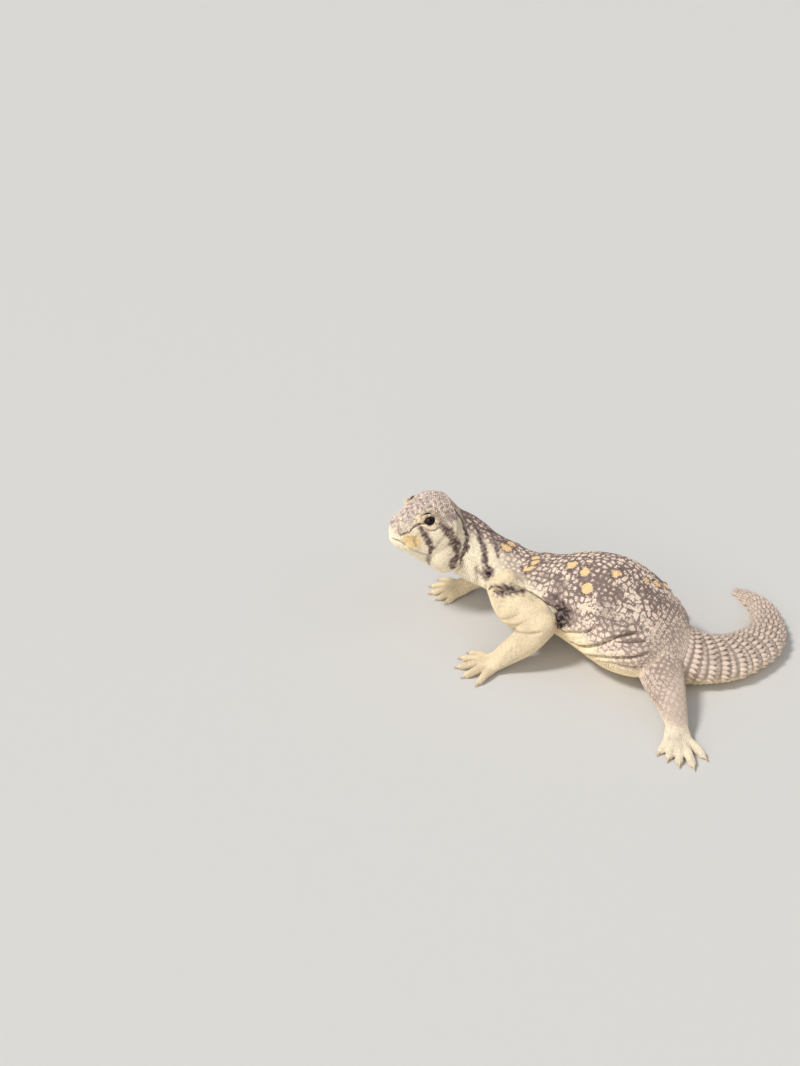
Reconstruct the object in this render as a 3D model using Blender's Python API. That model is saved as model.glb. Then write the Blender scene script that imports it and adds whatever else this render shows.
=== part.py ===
"""An ornate spiny-tailed lizard (uromastyx), life size, propped on its forelegs with its head raised.

The animal faces -X, its left side is towards -Y, and the floor is z = 0. Its pieces are placed from a
point on the floor under the belly, in millimetres that become metres where a mesh is made, and in the
end they move together until the middle of their box is over the origin.
"""

import math

import bmesh
import bpy
import numpy as np
from mathutils import Matrix, Vector

MM = 0.001
GAP = 0.3  # clearance that neighbouring pieces keep

# Head, placed by its centre and turned towards the left side
HEAD_CENTRE = Vector((-73.5, -10.6, 38.6))
HEAD_YAW = math.radians(54.5)
HEAD_PITCH = math.radians(8.0)
HEAD_BACK = -13.0  # where the head meets the neck, from the head's centre

# Head sections in the head's own axes: forward, centre up, half width, above, below, squareness
HEAD = (
    (-7.0, -1.0, 12.8, 12.8, 19.4, 2.1),
    (-2.0, -1.0, 12.4, 13.4, 16.8, 2.2),
    (3.0, -1.4, 11.0, 12.2, 13.2, 2.25),
    (7.0, -2.2, 9.2, 9.4, 10.0, 2.2),
    (10.5, -3.0, 7.0, 6.8, 7.2, 2.3),
    (12.8, -3.6, 5.0, 4.4, 4.8, 2.1),
    (13.8, -3.8, 2.9, 2.4, 2.8, 2.0),
)
EYE_RADIUS = 2.9
EYE_PLACE = (2.8, 7.1, 5.3)  # forward, out from the midline, up
NOSTRIL_PLACE = (11.5, 5.6, -0.6)
EAR_PLACE = (-12.6, 11.8, -3.2)
LIP_LINE = ((17.0, -5.2), (12.5, -5.6), (9.5, -7.2), (5.0, -8.2), (0.0, -8.0), (-3.0, -7.2))  # forward, up
JAW_CUT = (-7.0, -26.0)  # where the lower jaw's rear cut leaves the head

# Trunk sections: centre x, y, z, half width, height above the centre, depth below it, squareness
TRUNK = (
    (-54.5, 1.0, 26.8, 10.8, 7.2, 15.0, 2.1),  # neck
    (-46.0, 1.6, 24.2, 11.4, 6.6, 13.6, 2.1),  # throat
    (-37.0, 1.4, 22.0, 13.2, 6.4, 12.8, 2.1),  # shoulders
    (-25.0, 1.0, 20.0, 15.2, 12.3, 14.2, 2.1),  # chest
    (-12.0, 0.6, 18.8, 17.6, 19.2, 15.8, 2.1),  # fore belly
    (1.0, -0.2, 17.8, 20.6, 20.8, 17.0, 2.15),  # belly
    (12.0, -1.6, 16.2, 22.2, 15.4, 16.6, 2.2),  # rear belly
    (20.5, -1.2, 13.2, 20.2, 12.2, 13.6, 2.2),  # loin
    (28.0, -0.2, 9.6, 13.0, 9.6, 10.2, 2.2),  # vent
)

# Tail sections: share of the length, half width, height above the centre, depth below it
TAIL_LENGTH = 84.0
TAIL_HEADING = (math.radians(20.0), math.radians(156.0))  # at the root and at the tip
TAIL_SUNK = 0.12  # share of its depth that the floor flattens
TAIL = (
    (0.10, 11.4, 8.2, 8.2),
    (0.25, 9.8, 6.8, 6.6),
    (0.50, 7.4, 5.4, 5.2),
    (0.75, 4.9, 3.8, 3.7),
    (0.92, 2.9, 2.3, 2.2),
    (1.00, 1.3, 1.2, 1.1),
)
WHORLS = {"tail_root": 6, "tail_middle": 6, "tail_tip": 6}  # rings of spines in each length of the tail
WHORL_PROFILE = ((0.04, 0.93), (0.62, 1.0), (0.96, 1.05))  # share of the whorl's length, scale
SPINES_AT_ROOT, SPINES_AT_TIP = 10, 5
SPINE_LENGTH, SPINE_RADIUS = 3.0, 1.2  # at the tail's root; half as much at its tip
SPINE_ARC = (math.radians(-8.0), math.radians(188.0))  # round the tail, from its right side over the top

# Legs: x, y, z, half width and half height along the upper and the lower part
LEGS = {
    "foreleg_left": {
        "upper": ((-39.0, -7.0, 19.0, 8.0, 8.8), (-31.0, -15.5, 17.6, 7.6, 8.2), (-18.5, -20.8, 18.0, 5.6, 5.8)),
        "lower": ((-17.2, -21.7, 17.4, 5.7, 5.7), (-21.2, -26.4, 11.5, 5.7, 5.4), (-27.0, -31.2, 5.8, 4.8, 3.9)),
    },
    "foreleg_right": {
        "upper": ((-38.0, 9.0, 17.0, 7.6, 7.6), (-40.5, 16.0, 15.6, 6.4, 6.4), (-45.0, 22.0, 13.6, 5.2, 5.2)),
        "lower": ((-45.8, 22.2, 13.2, 5.2, 5.2), (-54.4, 15.9, 9.2, 4.9, 4.7), (-63.2, 8.6, 5.4, 4.2, 3.7)),
    },
    "hindleg_left": {
        "upper": ((22.0, -6.0, 10.6, 8.4, 8.8), (27.5, -15.5, 9.8, 8.0, 8.4), (33.0, -24.0, 8.8, 6.6, 6.6)),
        "lower": ((34.0, -25.0, 8.4, 6.0, 6.0), (37.5, -29.5, 6.6, 5.0, 5.0), (40.5, -33.5, 4.6, 4.0, 3.7)),
    },
    "hindleg_right": {
        "upper": ((17.0, 6.0, 12.0, 8.6, 9.0), (9.5, 17.0, 11.6, 8.0, 8.4), (2.0, 25.5, 10.4, 6.6, 6.6)),
        "lower": ((2.5, 26.5, 10.0, 6.0, 6.0), (8.5, 30.5, 7.2, 5.2, 5.0), (15.0, 33.0, 4.6, 4.0, 3.7)),
    },
}

# Feet, which start at the lower part's end: heading, palm length, palm half width, and digits from
# the first to the fifth as turn from the heading in degrees and length
FEET = {
    "foreleg_left": (214.0, 9.4, 5.2, ((-40.0, 6.4), (-21.0, 8.2), (0.0, 8.8), (22.0, 8.2), (50.0, 6.4))),
    "foreleg_right": (220.0, 9.0, 5.2, ((38.0, 5.6), (19.0, 7.4), (0.0, 8.4), (-19.0, 8.2), (-44.0, 6.4))),
    "hindleg_left": (296.0, 10.0, 4.9, ((-34.0, 5.0), (-17.0, 6.6), (-2.0, 8.2), (14.0, 9.6), (38.0, 6.6))),
    "hindleg_right": (138.0, 10.0, 4.9, ((34.0, 5.0), (17.0, 6.6), (2.0, 8.2), (-14.0, 9.6), (-38.0, 6.6))),
}
DIGIT_RADII = (1.9, 1.75, 1.45)
CLAW_LENGTH, CLAW_RADIUS = 2.6, 0.62

# Counts of sides
SPINE_SIDES, TAIL_SIDES, LIMB_SIDES, PALM_SIDES, DIGIT_SIDES, CLAW_SIDES = 26, 14, 14, 10, 6, 5
HEAD_THINNING = 0.055  # share of the remeshed head's faces that is kept

# Colour and roughness of each material
MATERIALS = {
    "skin": ((0.62, 0.50, 0.36), 0.7),
    "tail": ((0.50, 0.42, 0.33), 0.75),
    "eye": ((0.02, 0.015, 0.01), 0.1),
}


def clear_scene():
    """Remove whatever the file holds."""
    for obj in list(bpy.data.objects):
        bpy.data.objects.remove(obj)


# Curves and meshes


def spline(rows, t):
    """Point on a Catmull-Rom curve through the rows, where a whole t is a row."""
    rows = np.asarray(rows, float)
    last = len(rows) - 1
    i = int(min(max(math.floor(t), 0), last - 1))
    f = t - i
    p1, p2 = rows[i], rows[i + 1]
    p0 = rows[i - 1] if i > 0 else 2 * p1 - p2
    p3 = rows[i + 2] if i + 2 <= last else 2 * p2 - p1
    slope_in, slope_out = (p2 - p0) / 2, (p3 - p1) / 2
    rise = p2 - p1
    square, cube = 3 * rise - 2 * slope_in - slope_out, slope_in + slope_out - 2 * rise
    return p1 + slope_in * f + square * f**2 + cube * f**3


def heading_of(rows, t):
    """Unit direction of the curve through the first three columns of the rows."""
    step = 0.02
    last = len(rows) - 1
    ahead, behind = spline(rows, min(t + step, last)), spline(rows, max(t - step, 0))
    return Vector((ahead - behind)[:3]).normalized()


def section(centre, side, up, half_width, above, below, power, count, floor=0.0):
    """Points of a rounded section, flattened where it would pass under the floor."""
    points = []
    for k in range(count):
        angle = 2 * math.pi * k / count
        c, s = math.cos(angle), math.sin(angle)
        out = half_width * math.copysign(abs(c) ** (2 / power), c)
        rise = (above if s > 0 else below) * math.copysign(abs(s) ** (2 / power), s)
        point = centre + side * out + up * rise
        point.z = max(point.z, floor)
        points.append(point)
    return points


def make_object(name, points, faces):
    """A mesh object, faces outwards, from points in millimetres."""
    mesh = bpy.data.meshes.new(name)
    mesh.from_pydata([tuple(p * MM) for p in points], [], faces)
    shape = bmesh.new()
    shape.from_mesh(mesh)
    bmesh.ops.recalc_face_normals(shape, faces=shape.faces)
    shape.to_mesh(mesh)
    shape.free()
    obj = bpy.data.objects.new(name, mesh)
    bpy.context.scene.collection.objects.link(obj)
    return obj


def skin_rings(name, rings, closed=False):
    """A tube through rings of equal count, with flat ends or, when closed, joined end to end."""
    count = len(rings[0])
    points = [p for r in rings for p in r]
    faces = []
    for i in range(len(rings) if closed else len(rings) - 1):
        here, there = i * count, (i + 1) % len(rings) * count
        for k in range(count):
            after = (k + 1) % count
            faces.append((here + k, here + after, there + after, there + k))
    if not closed:
        faces.append(tuple(range(count)))
        faces.append(tuple(range((len(rings) - 1) * count, len(rings) * count)))
    return make_object(name, points, faces)


def apply_modifiers(obj):
    """Put the object's mesh with its modifiers in place of its own."""
    graph = bpy.context.evaluated_depsgraph_get()
    mesh = bpy.data.meshes.new_from_object(obj.evaluated_get(graph))
    obj.modifiers.clear()
    obj.data = mesh
    return obj


def boolean(obj, operation, others):
    """Join the other objects to this one, or cut them from it, and remove them."""
    group = bpy.data.collections.new("operands")
    for other in others:
        bpy.context.scene.collection.objects.unlink(other)
        group.objects.link(other)
    modifier = obj.modifiers.new(operation.title(), "BOOLEAN")
    modifier.operation = operation
    modifier.operand_type = "COLLECTION"
    modifier.collection = group
    modifier.solver = "EXACT"
    apply_modifiers(obj)
    for other in others:
        bpy.data.objects.remove(other)
    bpy.data.collections.remove(group)
    return obj


def shells_of(obj):
    """Face indices of the object's separate surfaces, the one with the most volume first."""
    shape = bmesh.new()
    shape.from_mesh(obj.data)
    shape.faces.ensure_lookup_table()
    seen, shells = set(), []
    for face in shape.faces:
        if face.index in seen:
            continue
        stack, shell = [face], []
        seen.add(face.index)
        while stack:
            current = stack.pop()
            shell.append(current.index)
            for neighbour in {f for edge in current.edges for f in edge.link_faces}:
                if neighbour.index not in seen:
                    seen.add(neighbour.index)
                    stack.append(neighbour)
        shells.append(shell)
    shape.free()
    return sorted(shells, key=lambda faces: -volume_of(obj, faces))


def keep_faces(obj, kept):
    """Delete all faces but the kept ones."""
    shape = bmesh.new()
    shape.from_mesh(obj.data)
    wanted = set(kept)
    bmesh.ops.delete(shape, geom=[f for f in shape.faces if f.index not in wanted], context="FACES")
    shape.to_mesh(obj.data)
    shape.free()
    return obj


def volume_of(obj, faces):
    """Volume that some of the object's faces enclose."""
    shape = bmesh.new()
    shape.from_mesh(obj.data)
    wanted = set(faces)
    bmesh.ops.delete(shape, geom=[f for f in shape.faces if f.index not in wanted], context="FACES")
    volume = shape.calc_volume(signed=True)
    shape.free()
    return volume


def keep_largest(obj):
    """Keep only the largest closed surface."""
    shells = shells_of(obj)
    return keep_faces(obj, shells[0]) if len(shells) > 1 else obj


# The spine: one curve from the head's centre to the tip of the tail


def head_axes():
    """Forward, right and up directions of the head."""
    level = Vector((-math.cos(HEAD_YAW), -math.sin(HEAD_YAW), 0.0))
    forward = level * math.cos(HEAD_PITCH) + Vector((0.0, 0.0, math.sin(HEAD_PITCH)))
    right = forward.cross(Vector((0.0, 0.0, 1.0))).normalized()
    return forward, right, right.cross(forward)


def in_head(forward, right, up):
    """A point given in the head's axes, in the lizard's own frame."""
    f, r, u = head_axes()
    return HEAD_CENTRE + f * forward + r * right + u * up


def tail_row(share, half_width, above, below):
    """Section row of the tail, which lies on the floor and curves to the right."""
    start, end = TAIL_HEADING
    steps = 40
    x, y = TRUNK[-1][0], TRUNK[-1][1]
    for i in range(steps):
        heading = start + (end - start) * share * (i + 0.5) / steps
        x += math.cos(heading) * TAIL_LENGTH * share / steps
        y += math.sin(heading) * TAIL_LENGTH * share / steps
    return (x, y, below * (1 - TAIL_SUNK), half_width, above, below, 2.1)


def spine_rows():
    """Section rows from the head's centre to the tail's tip."""
    head = in_head(0.0, 0.0, -2.0)
    nape = in_head(HEAD_BACK, 0.0, -4.0)
    rows = [(*head, 11.8, 11.0, 15.0, 2.2), (*nape, 11.6, 7.8, 18.6, 2.1)]
    return rows + list(TRUNK) + [tail_row(*row) for row in TAIL]


SPINE = spine_rows()
NAPE, THROAT, VENT = 1, 3, 10  # whole values of t along the spine
TAIL_TIP = len(SPINE) - 1


def spine_frame(t):
    """Centre, heading, right side and up direction of the spine at t."""
    heading = heading_of(SPINE, t)
    side = Vector((0.0, 0.0, 1.0)).cross(heading).normalized()
    return Vector(spline(SPINE, t)[:3]), heading, side, heading.cross(side)


def spine_ring(t, scale=1.0, grow=0.0, count=SPINE_SIDES, floor=0.0):
    """Section of the body at t, scaled or grown by some millimetres."""
    centre, _, side, up = spine_frame(t)
    *sizes, power = spline(SPINE, t)[3:]
    half_width, above, below = (size * scale + grow for size in sizes)
    return section(centre, side, up, half_width, above, below, power, count, floor)


def spine_lengths():
    """Distances along the spine at evenly spaced values of t."""
    ts = np.linspace(0, TAIL_TIP, 40 * TAIL_TIP + 1)
    places = np.array([spline(SPINE, t)[:3] for t in ts])
    steps = np.linalg.norm(np.diff(places, axis=0), axis=1)
    return ts, np.concatenate([[0.0], np.cumsum(steps)])


LENGTH_TS, LENGTHS = spine_lengths()


def t_at(distance):
    """t at a distance along the spine."""
    return float(np.interp(distance, LENGTHS, LENGTH_TS))


def distance_at(t):
    """Distance along the spine at t."""
    return float(np.interp(t, LENGTH_TS, LENGTHS))


def body_piece(name, start, end, spacing=3.4):
    """A length of the body between two values of t, with half the gap left at each end."""
    first, last = distance_at(start) + GAP / 2, distance_at(end) - GAP / 2
    count = max(3, round((last - first) / spacing) + 1)
    return skin_rings(name, [spine_ring(t_at(d)) for d in np.linspace(first, last, count)])


def body_guard():
    """The body from nape to tail, grown by the gap, which limbs are cut back from."""
    below_floor = -50.0
    distances = np.linspace(distance_at(NAPE), distance_at(TAIL_TIP), 60)
    return skin_rings("guard", [spine_ring(t_at(d), grow=GAP, floor=below_floor) for d in distances])


# Limbs


def tube(name, rows, grow=0.0, sides=LIMB_SIDES, spacing=2.8, floor=0.0):
    """A round-ended tube through rows of x, y, z, half width and half height."""
    last = len(rows) - 1
    ts = np.linspace(0, last, 60 * last + 1)
    places = np.array([spline(rows, t)[:3] for t in ts])
    along = np.concatenate([[0.0], np.cumsum(np.linalg.norm(np.diff(places, axis=0), axis=1))])
    count = max(3, round(along[-1] / spacing) + 1)
    round_ends = ((0.55, 0.84), (0.9, 0.42))  # how far out, in radii, and scale
    samples = [(0.0, -out, scale) for out, scale in reversed(round_ends)]
    samples += [(float(np.interp(d, along, ts)), 0.0, 1.0) for d in np.linspace(0, along[-1], count)]
    samples += [(float(last), out, scale) for out, scale in round_ends]
    rings = []
    for t, out, scale in samples:
        values = spline(rows, t)
        heading = heading_of(rows, t)
        side = Vector((0.0, 0.0, 1.0)).cross(heading).normalized()
        width, height = (values[3] + grow) * scale, (values[4] + grow) * scale
        centre = Vector(values[:3]) + heading * out * (min(values[3], values[4]) + grow)
        rings.append(section(centre, side, heading.cross(side), width, height, height, 2.0, sides, floor))
    return skin_rings(name, rings)


def claw(name, root, direction):
    """A curved, pointed claw that leaves its digit and bends down to the floor."""
    down = Vector((0.0, 0.0, -1.0))
    rings = []
    for along, width, drop in ((-0.35, 1.0, 0.0), (0.5, 0.8, 0.08), (1.0, 0.2, 0.36)):
        heading = (direction + down * (0.15 + 0.5 * max(along, 0))).normalized()
        side = Vector((0.0, 0.0, 1.0)).cross(heading).normalized()
        centre = root + direction * CLAW_LENGTH * along + down * CLAW_LENGTH * drop
        half_width, half_height = CLAW_RADIUS * width, CLAW_RADIUS * width * 1.15
        up = heading.cross(side)
        rings.append(section(centre, side, up, half_width, half_height, half_height, 2.0, CLAW_SIDES))
    return skin_rings(name, rings)


def digit(name, root, out, reach):
    """One finger or toe with its claw, lying on the floor."""
    base, middle, tip = DIGIT_RADII
    rows = [
        (*(root - out * 1.2).xy, 2.0, base, base),
        (*(root + out * reach * 0.4).xy, 2.2, middle, middle),
        (*(root + out * reach).xy, tip * 0.85, tip, tip),
    ]
    claw_root = root + out * (reach + tip * 0.5)
    claw_root.z = 1.35
    return [tube(name, rows, sides=DIGIT_SIDES, spacing=3.2), claw(name + "_claw", claw_root, out)]


def foot(name, wrist, heading_degrees, length, half_width, digits):
    """A hand or foot flat on the floor: a palm with five clawed digits joined to it."""
    heading = math.radians(heading_degrees)
    forward = Vector((math.cos(heading), math.sin(heading), 0.0))
    across = Vector((-forward.y, forward.x, 0.0))
    start = Vector((wrist[0], wrist[1], 0.0))
    palm_rows = [
        (*(start + forward * 0.5).xy, wrist[2] * 0.85, wrist[3] * 0.92, wrist[4] * 0.9),
        (*(start + forward * length * 0.5).xy, 2.5, half_width, 2.7),
        (*(start + forward * length * 0.85).xy, 1.9, half_width * 0.92, 2.2),
    ]
    pieces = []
    for i, (turn, reach) in enumerate(digits):
        angle = math.radians(turn)
        out = forward * math.cos(angle) + across * math.sin(angle)
        ahead, aside = length * (0.72 - 0.13 * abs(angle)), half_width * 1.2 * math.sin(angle * 0.9)
        pieces += digit(f"{name}_digit_{i + 1}", start + forward * ahead + across * aside, out, reach)
    palm = tube(name, palm_rows, spacing=2.6, sides=PALM_SIDES)
    return keep_largest(boolean(palm, "UNION", pieces))


def build_leg(leg):
    """Upper leg, lower leg and foot, cut back by the gap from the lower leg and the body."""
    rows = LEGS[leg]
    upper = tube(leg + "_upper", rows["upper"])
    lower = tube(leg + "_lower", rows["lower"])
    end = foot(leg + "_foot", rows["lower"][-1], *FEET[leg])
    for piece, guards in ((upper, [body_guard()]), (end, [])):
        guards.append(tube("guard", rows["lower"], grow=GAP, floor=-50.0))
        keep_largest(boolean(piece, "DIFFERENCE", guards))
    return [upper, lower, end]


# Head


def blob(name, centre, radii, segments=16):
    """An ellipsoid in the head's axes."""
    shape = bmesh.new()
    bmesh.ops.create_uvsphere(shape, u_segments=segments, v_segments=segments // 2, radius=1.0)
    points = [in_head(*(c + v * r for c, v, r in zip(centre, vert.co, radii))) for vert in shape.verts]
    faces = [[v.index for v in face.verts] for face in shape.faces]
    shape.free()
    return make_object(name, points, faces)


def on_side(place, side):
    """A place of forward, out and up moved to one side of the head."""
    forward, out, up = place
    return Vector((forward, out * side, up))


def lid_rim(side):
    """The rim of skin round one eye."""
    look = Vector((0.16, side, 0.14)).normalized()
    along = Vector((1.0, 0.0, 0.0))
    along = (along - look * along.dot(look)).normalized()
    up = look.cross(along) * -side
    half_length, half_height, thickness, lift = 3.1, 2.0, 1.0, 1.25
    rings = []
    for i in range(20):
        angle = 2 * math.pi * i / 20
        out = along * math.cos(angle) * half_length + up * math.sin(angle) * half_height
        centre = on_side(EYE_PLACE, side) + look * lift + out
        turns = [2 * math.pi * k / 8 for k in range(8)]
        ring = [centre + (out.normalized() * math.cos(a) + look * math.sin(a)) * thickness for a in turns]
        rings.append([in_head(*p) for p in ring])
    return skin_rings("lid", rings, closed=True)


def head_flesh():
    """The head as one closed surface, before any cut."""
    _, right, up = head_axes()
    rings = [spine_ring(NAPE + 0.6, count=28), spine_ring(NAPE + 0.2, count=28), spine_ring(NAPE, count=28)]
    for t in np.linspace(0, len(HEAD) - 1, 20):
        forward, centre_up, half_width, above, below, power = spline(HEAD, t)
        centre = in_head(forward, 0, centre_up)
        rings.append(section(centre, right, up, half_width, above, below, power, 28))
    head = skin_rings("head", rings)
    pieces = [head]
    for side in (-1, 1):
        pieces.append(blob("brow", (1.6, 4.8 * side, 6.0), (5.6, 3.6, 2.0)))
        pieces.append(blob("jowl", (-6.5, 8.2 * side, -9.0), (7.6, 5.2, 9.0)))
        pieces.append(blob("snout", (10.6, 3.4 * side, -0.6), (2.8, 2.8, 2.8)))
        pieces.append(blob("lip", (6.0, 6.6 * side, -5.2), (5.2, 2.8, 2.6)))
        pieces.append(lid_rim(side))
    with bpy.context.temp_override(active_object=head, selected_editable_objects=pieces):
        bpy.ops.object.join()
    remesh = head.modifiers.new("Blend", "REMESH")
    remesh.mode = "VOXEL"
    remesh.voxel_size = 0.45 * MM
    smooth = head.modifiers.new("Soften", "SMOOTH")
    smooth.factor = 0.5
    smooth.iterations = 6
    thin = head.modifiers.new("Thin", "DECIMATE")
    thin.ratio = HEAD_THINNING
    return apply_modifiers(head)


def mouth_blade():
    """A sheet as thick as the gap that parts the lower jaw from the head."""
    path = [tuple(spline(LIP_LINE, t)) for t in np.linspace(0, len(LIP_LINE) - 1, 13)] + [JAW_CUT]
    above, below = [], []
    for i, (forward, up) in enumerate(path):
        before, after = path[max(i - 1, 0)], path[min(i + 1, len(path) - 1)]
        along = Vector((after[0] - before[0], after[1] - before[1])).normalized()
        offset = Vector((-along.y, along.x)) * GAP / 2
        above.append((forward + offset.x, up + offset.y))
        below.append((forward - offset.x, up - offset.y))
    reach = 18.0
    outline = above + below[::-1]
    return skin_rings("mouth", [[in_head(f, r, u) for f, u in outline] for r in (-reach, reach)])


def nape_block():
    """A block that fills everything behind the nape's cross plane, with half the gap."""
    centre, heading, side, up = spine_frame(NAPE)
    reach, thickness = 40.0, 60.0
    corners = ((1, 1), (-1, 1), (-1, -1), (1, -1))
    rings = []
    for depth in (-GAP / 2, thickness):
        rings.append([centre + heading * depth + side * reach * a + up * reach * b for a, b in corners])
    return skin_rings("block", rings)


def build_head():
    """Head, lower jaw and eyes."""
    head = head_flesh()
    cutters, eyes = [nape_block(), mouth_blade()], []
    for side, name in ((-1, "eye_left"), (1, "eye_right")):
        cutters.append(blob("socket", on_side(EYE_PLACE, side), [EYE_RADIUS + GAP] * 3))
        cutters.append(blob("nostril", on_side(NOSTRIL_PLACE, side), (1.1, 1.4, 0.6), 10))
        cutters.append(blob("ear", on_side(EAR_PLACE, side), (0.9, 1.8, 2.6), 12))
        eyes.append(blob(name, on_side(EYE_PLACE, side), [EYE_RADIUS] * 3))
    boolean(head, "DIFFERENCE", cutters)
    shells = shells_of(head)
    jaw = bpy.data.objects.new("lower_jaw", head.data.copy())
    bpy.context.scene.collection.objects.link(jaw)
    keep_faces(head, shells[0])
    keep_faces(jaw, shells[1])
    return [head, jaw] + eyes


# Tail


def whorl_starts():
    """Distances along the spine where each whorl of the tail starts, and where the last one ends."""
    start, end = distance_at(VENT) + GAP, distance_at(TAIL_TIP)
    shares = np.linspace(0, 1, sum(WHORLS.values()) + 1)
    return start + (end - start) * (1.12 * shares - 0.12 * shares**2)


def tail_spine(distance, angle, length, radius):
    """One three-sided spine on a whorl's rear edge, at an angle round the tail."""
    t = t_at(distance)
    centre, heading, side, up = spine_frame(t)
    half_width, above = spline(SPINE, t)[3:5]
    out = side * math.cos(angle) + up * math.sin(angle)
    surface = centre + side * half_width * math.cos(angle) + up * above * math.sin(angle)
    surface.z = max(surface.z, radius + 0.4)
    lean = (heading * 0.86 + out * 0.5).normalized()
    across = lean.cross(out).normalized()
    root = surface - out * 0.5 - heading * 0.6
    base = [root + across * radius * 1.3, root + out * radius * 1.1, root - across * radius * 1.3]
    base.append(root - out * radius * 1.2 + heading * 0.4)
    tip = surface + lean * length
    tip.z = max(tip.z, 0.3)
    faces = [(0, 1, 2, 3), (0, 1, 4), (1, 2, 4), (2, 3, 4), (3, 0, 4)]
    return make_object("spine", base + [tip], faces)


def build_tail():
    """The tail in three lengths, ringed with whorls of spines."""
    starts = whorl_starts()
    last_whorl = len(starts) - 2
    pieces, first = [], 0
    for name, whorls in WHORLS.items():
        rings, spines = [], []
        for i in range(first, first + whorls):
            length = starts[i + 1] - starts[i]
            for share, scale in WHORL_PROFILE:
                rings.append(spine_ring(t_at(starts[i] + share * length), scale, count=TAIL_SIDES))
            progress = i / last_whorl
            size = 1.0 - 0.5 * progress
            count = round(SPINES_AT_ROOT + (SPINES_AT_TIP - SPINES_AT_ROOT) * progress)
            for angle in np.linspace(*SPINE_ARC, count):
                place = starts[i] + 0.9 * length
                spines.append(tail_spine(place, float(angle), SPINE_LENGTH * size, SPINE_RADIUS * size))
        first += whorls
        pieces.append(keep_largest(boolean(skin_rings(name, rings), "UNION", spines)))
    return pieces


def paint(obj):
    """Give a piece the material its name calls for."""
    name = next((key for key in ("eye", "tail") if obj.name.startswith(key)), "skin")
    material = bpy.data.materials.get(name)
    if material is None:
        colour, roughness = MATERIALS[name]
        material = bpy.data.materials.new(name)
        material.use_nodes = True
        shader = material.node_tree.nodes["Principled BSDF"]
        shader.inputs["Base Color"].default_value = (*colour, 1.0)
        shader.inputs["Roughness"].default_value = roughness
    obj.data.materials.clear()
    obj.data.materials.append(material)
    obj.data.shade_smooth()
    obj.data.set_sharp_from_angle(angle=math.radians(40))


def centre_on_floor(pieces):
    """Move all the pieces together so that their box is centred over the origin."""
    places = np.array([v.co for piece in pieces for v in piece.data.vertices])
    middle = (places.min(axis=0) + places.max(axis=0)) / 2
    for piece in pieces:
        piece.data.transform(Matrix.Translation((-middle[0], -middle[1], 0.0)))


def main():
    """Build every piece of the lizard."""
    clear_scene()
    pieces = build_head()
    pieces.append(body_piece("neck", NAPE, THROAT))
    pieces.append(body_piece("torso", THROAT, VENT))
    pieces += build_tail()
    for leg in LEGS:
        pieces += build_leg(leg)
    centre_on_floor(pieces)
    for piece in pieces:
        paint(piece)


if __name__ == "__main__":
    main()
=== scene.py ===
"""The looks of a young ornate spiny-tailed lizard: one skin with its scales, spines, claws and eyes.

Lengths are in millimetres in the animal's own plan, where it faces -X with its left side towards -Y and
the floor is z = 0. They become metres in the row's frame where a mesh is made.
"""

from __future__ import annotations

import logging
import math
from dataclasses import dataclass, field, replace
from enum import Enum
from typing import Any, Sequence

import bmesh
import bpy
import numpy as np
from bpy.types import Material, Mesh, NodeTree, Object
from mathutils.bvhtree import BVHTree
from mathutils.kdtree import KDTree
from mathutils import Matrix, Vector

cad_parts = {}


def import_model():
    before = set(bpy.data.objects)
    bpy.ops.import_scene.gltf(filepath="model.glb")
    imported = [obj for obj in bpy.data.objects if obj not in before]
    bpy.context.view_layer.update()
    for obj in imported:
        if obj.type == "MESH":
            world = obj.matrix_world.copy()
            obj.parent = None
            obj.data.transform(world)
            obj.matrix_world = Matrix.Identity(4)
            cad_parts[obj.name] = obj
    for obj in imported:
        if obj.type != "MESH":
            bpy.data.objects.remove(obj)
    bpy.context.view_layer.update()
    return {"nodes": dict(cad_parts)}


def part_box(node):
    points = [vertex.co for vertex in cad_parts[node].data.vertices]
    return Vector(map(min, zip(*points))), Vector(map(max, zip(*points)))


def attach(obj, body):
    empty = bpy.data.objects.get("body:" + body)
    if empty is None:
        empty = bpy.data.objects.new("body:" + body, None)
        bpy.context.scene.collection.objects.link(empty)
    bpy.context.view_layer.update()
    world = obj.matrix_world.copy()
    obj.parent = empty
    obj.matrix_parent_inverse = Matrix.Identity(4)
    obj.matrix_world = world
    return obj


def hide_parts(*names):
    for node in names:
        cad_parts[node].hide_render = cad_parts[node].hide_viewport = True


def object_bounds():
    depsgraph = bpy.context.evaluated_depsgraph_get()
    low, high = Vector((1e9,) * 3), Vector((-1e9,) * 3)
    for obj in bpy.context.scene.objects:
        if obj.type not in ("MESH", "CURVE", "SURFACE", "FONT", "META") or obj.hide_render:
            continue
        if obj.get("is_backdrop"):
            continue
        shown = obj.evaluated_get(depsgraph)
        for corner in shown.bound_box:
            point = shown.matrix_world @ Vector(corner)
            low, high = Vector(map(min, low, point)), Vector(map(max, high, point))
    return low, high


LOG = logging.getLogger("lizard")
MM = 0.001
UP = np.array([0.0, 0.0, 1.0])
Array = np.ndarray
Rows = Sequence[Sequence[float]]


class Side(Enum):
    """Sides of the animal, as the sign of a coordinate that grows towards its right."""

    LEFT = -1
    RIGHT = 1


def linear(code: str) -> tuple[float, float, float, float]:
    """Turn an sRGB hex colour into a linear one.

    Args:
        code: Colour such as #E8D2B0.

    Returns:
        Linear red, green and blue, and an alpha of one.
    """
    shares = [int(code[i : i + 2], 16) / 255 for i in (1, 3, 5)]
    red, green, blue = (s / 12.92 if s <= 0.04045 else ((s + 0.055) / 1.055) ** 2.4 for s in shares)
    return red, green, blue, 1.0


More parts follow.
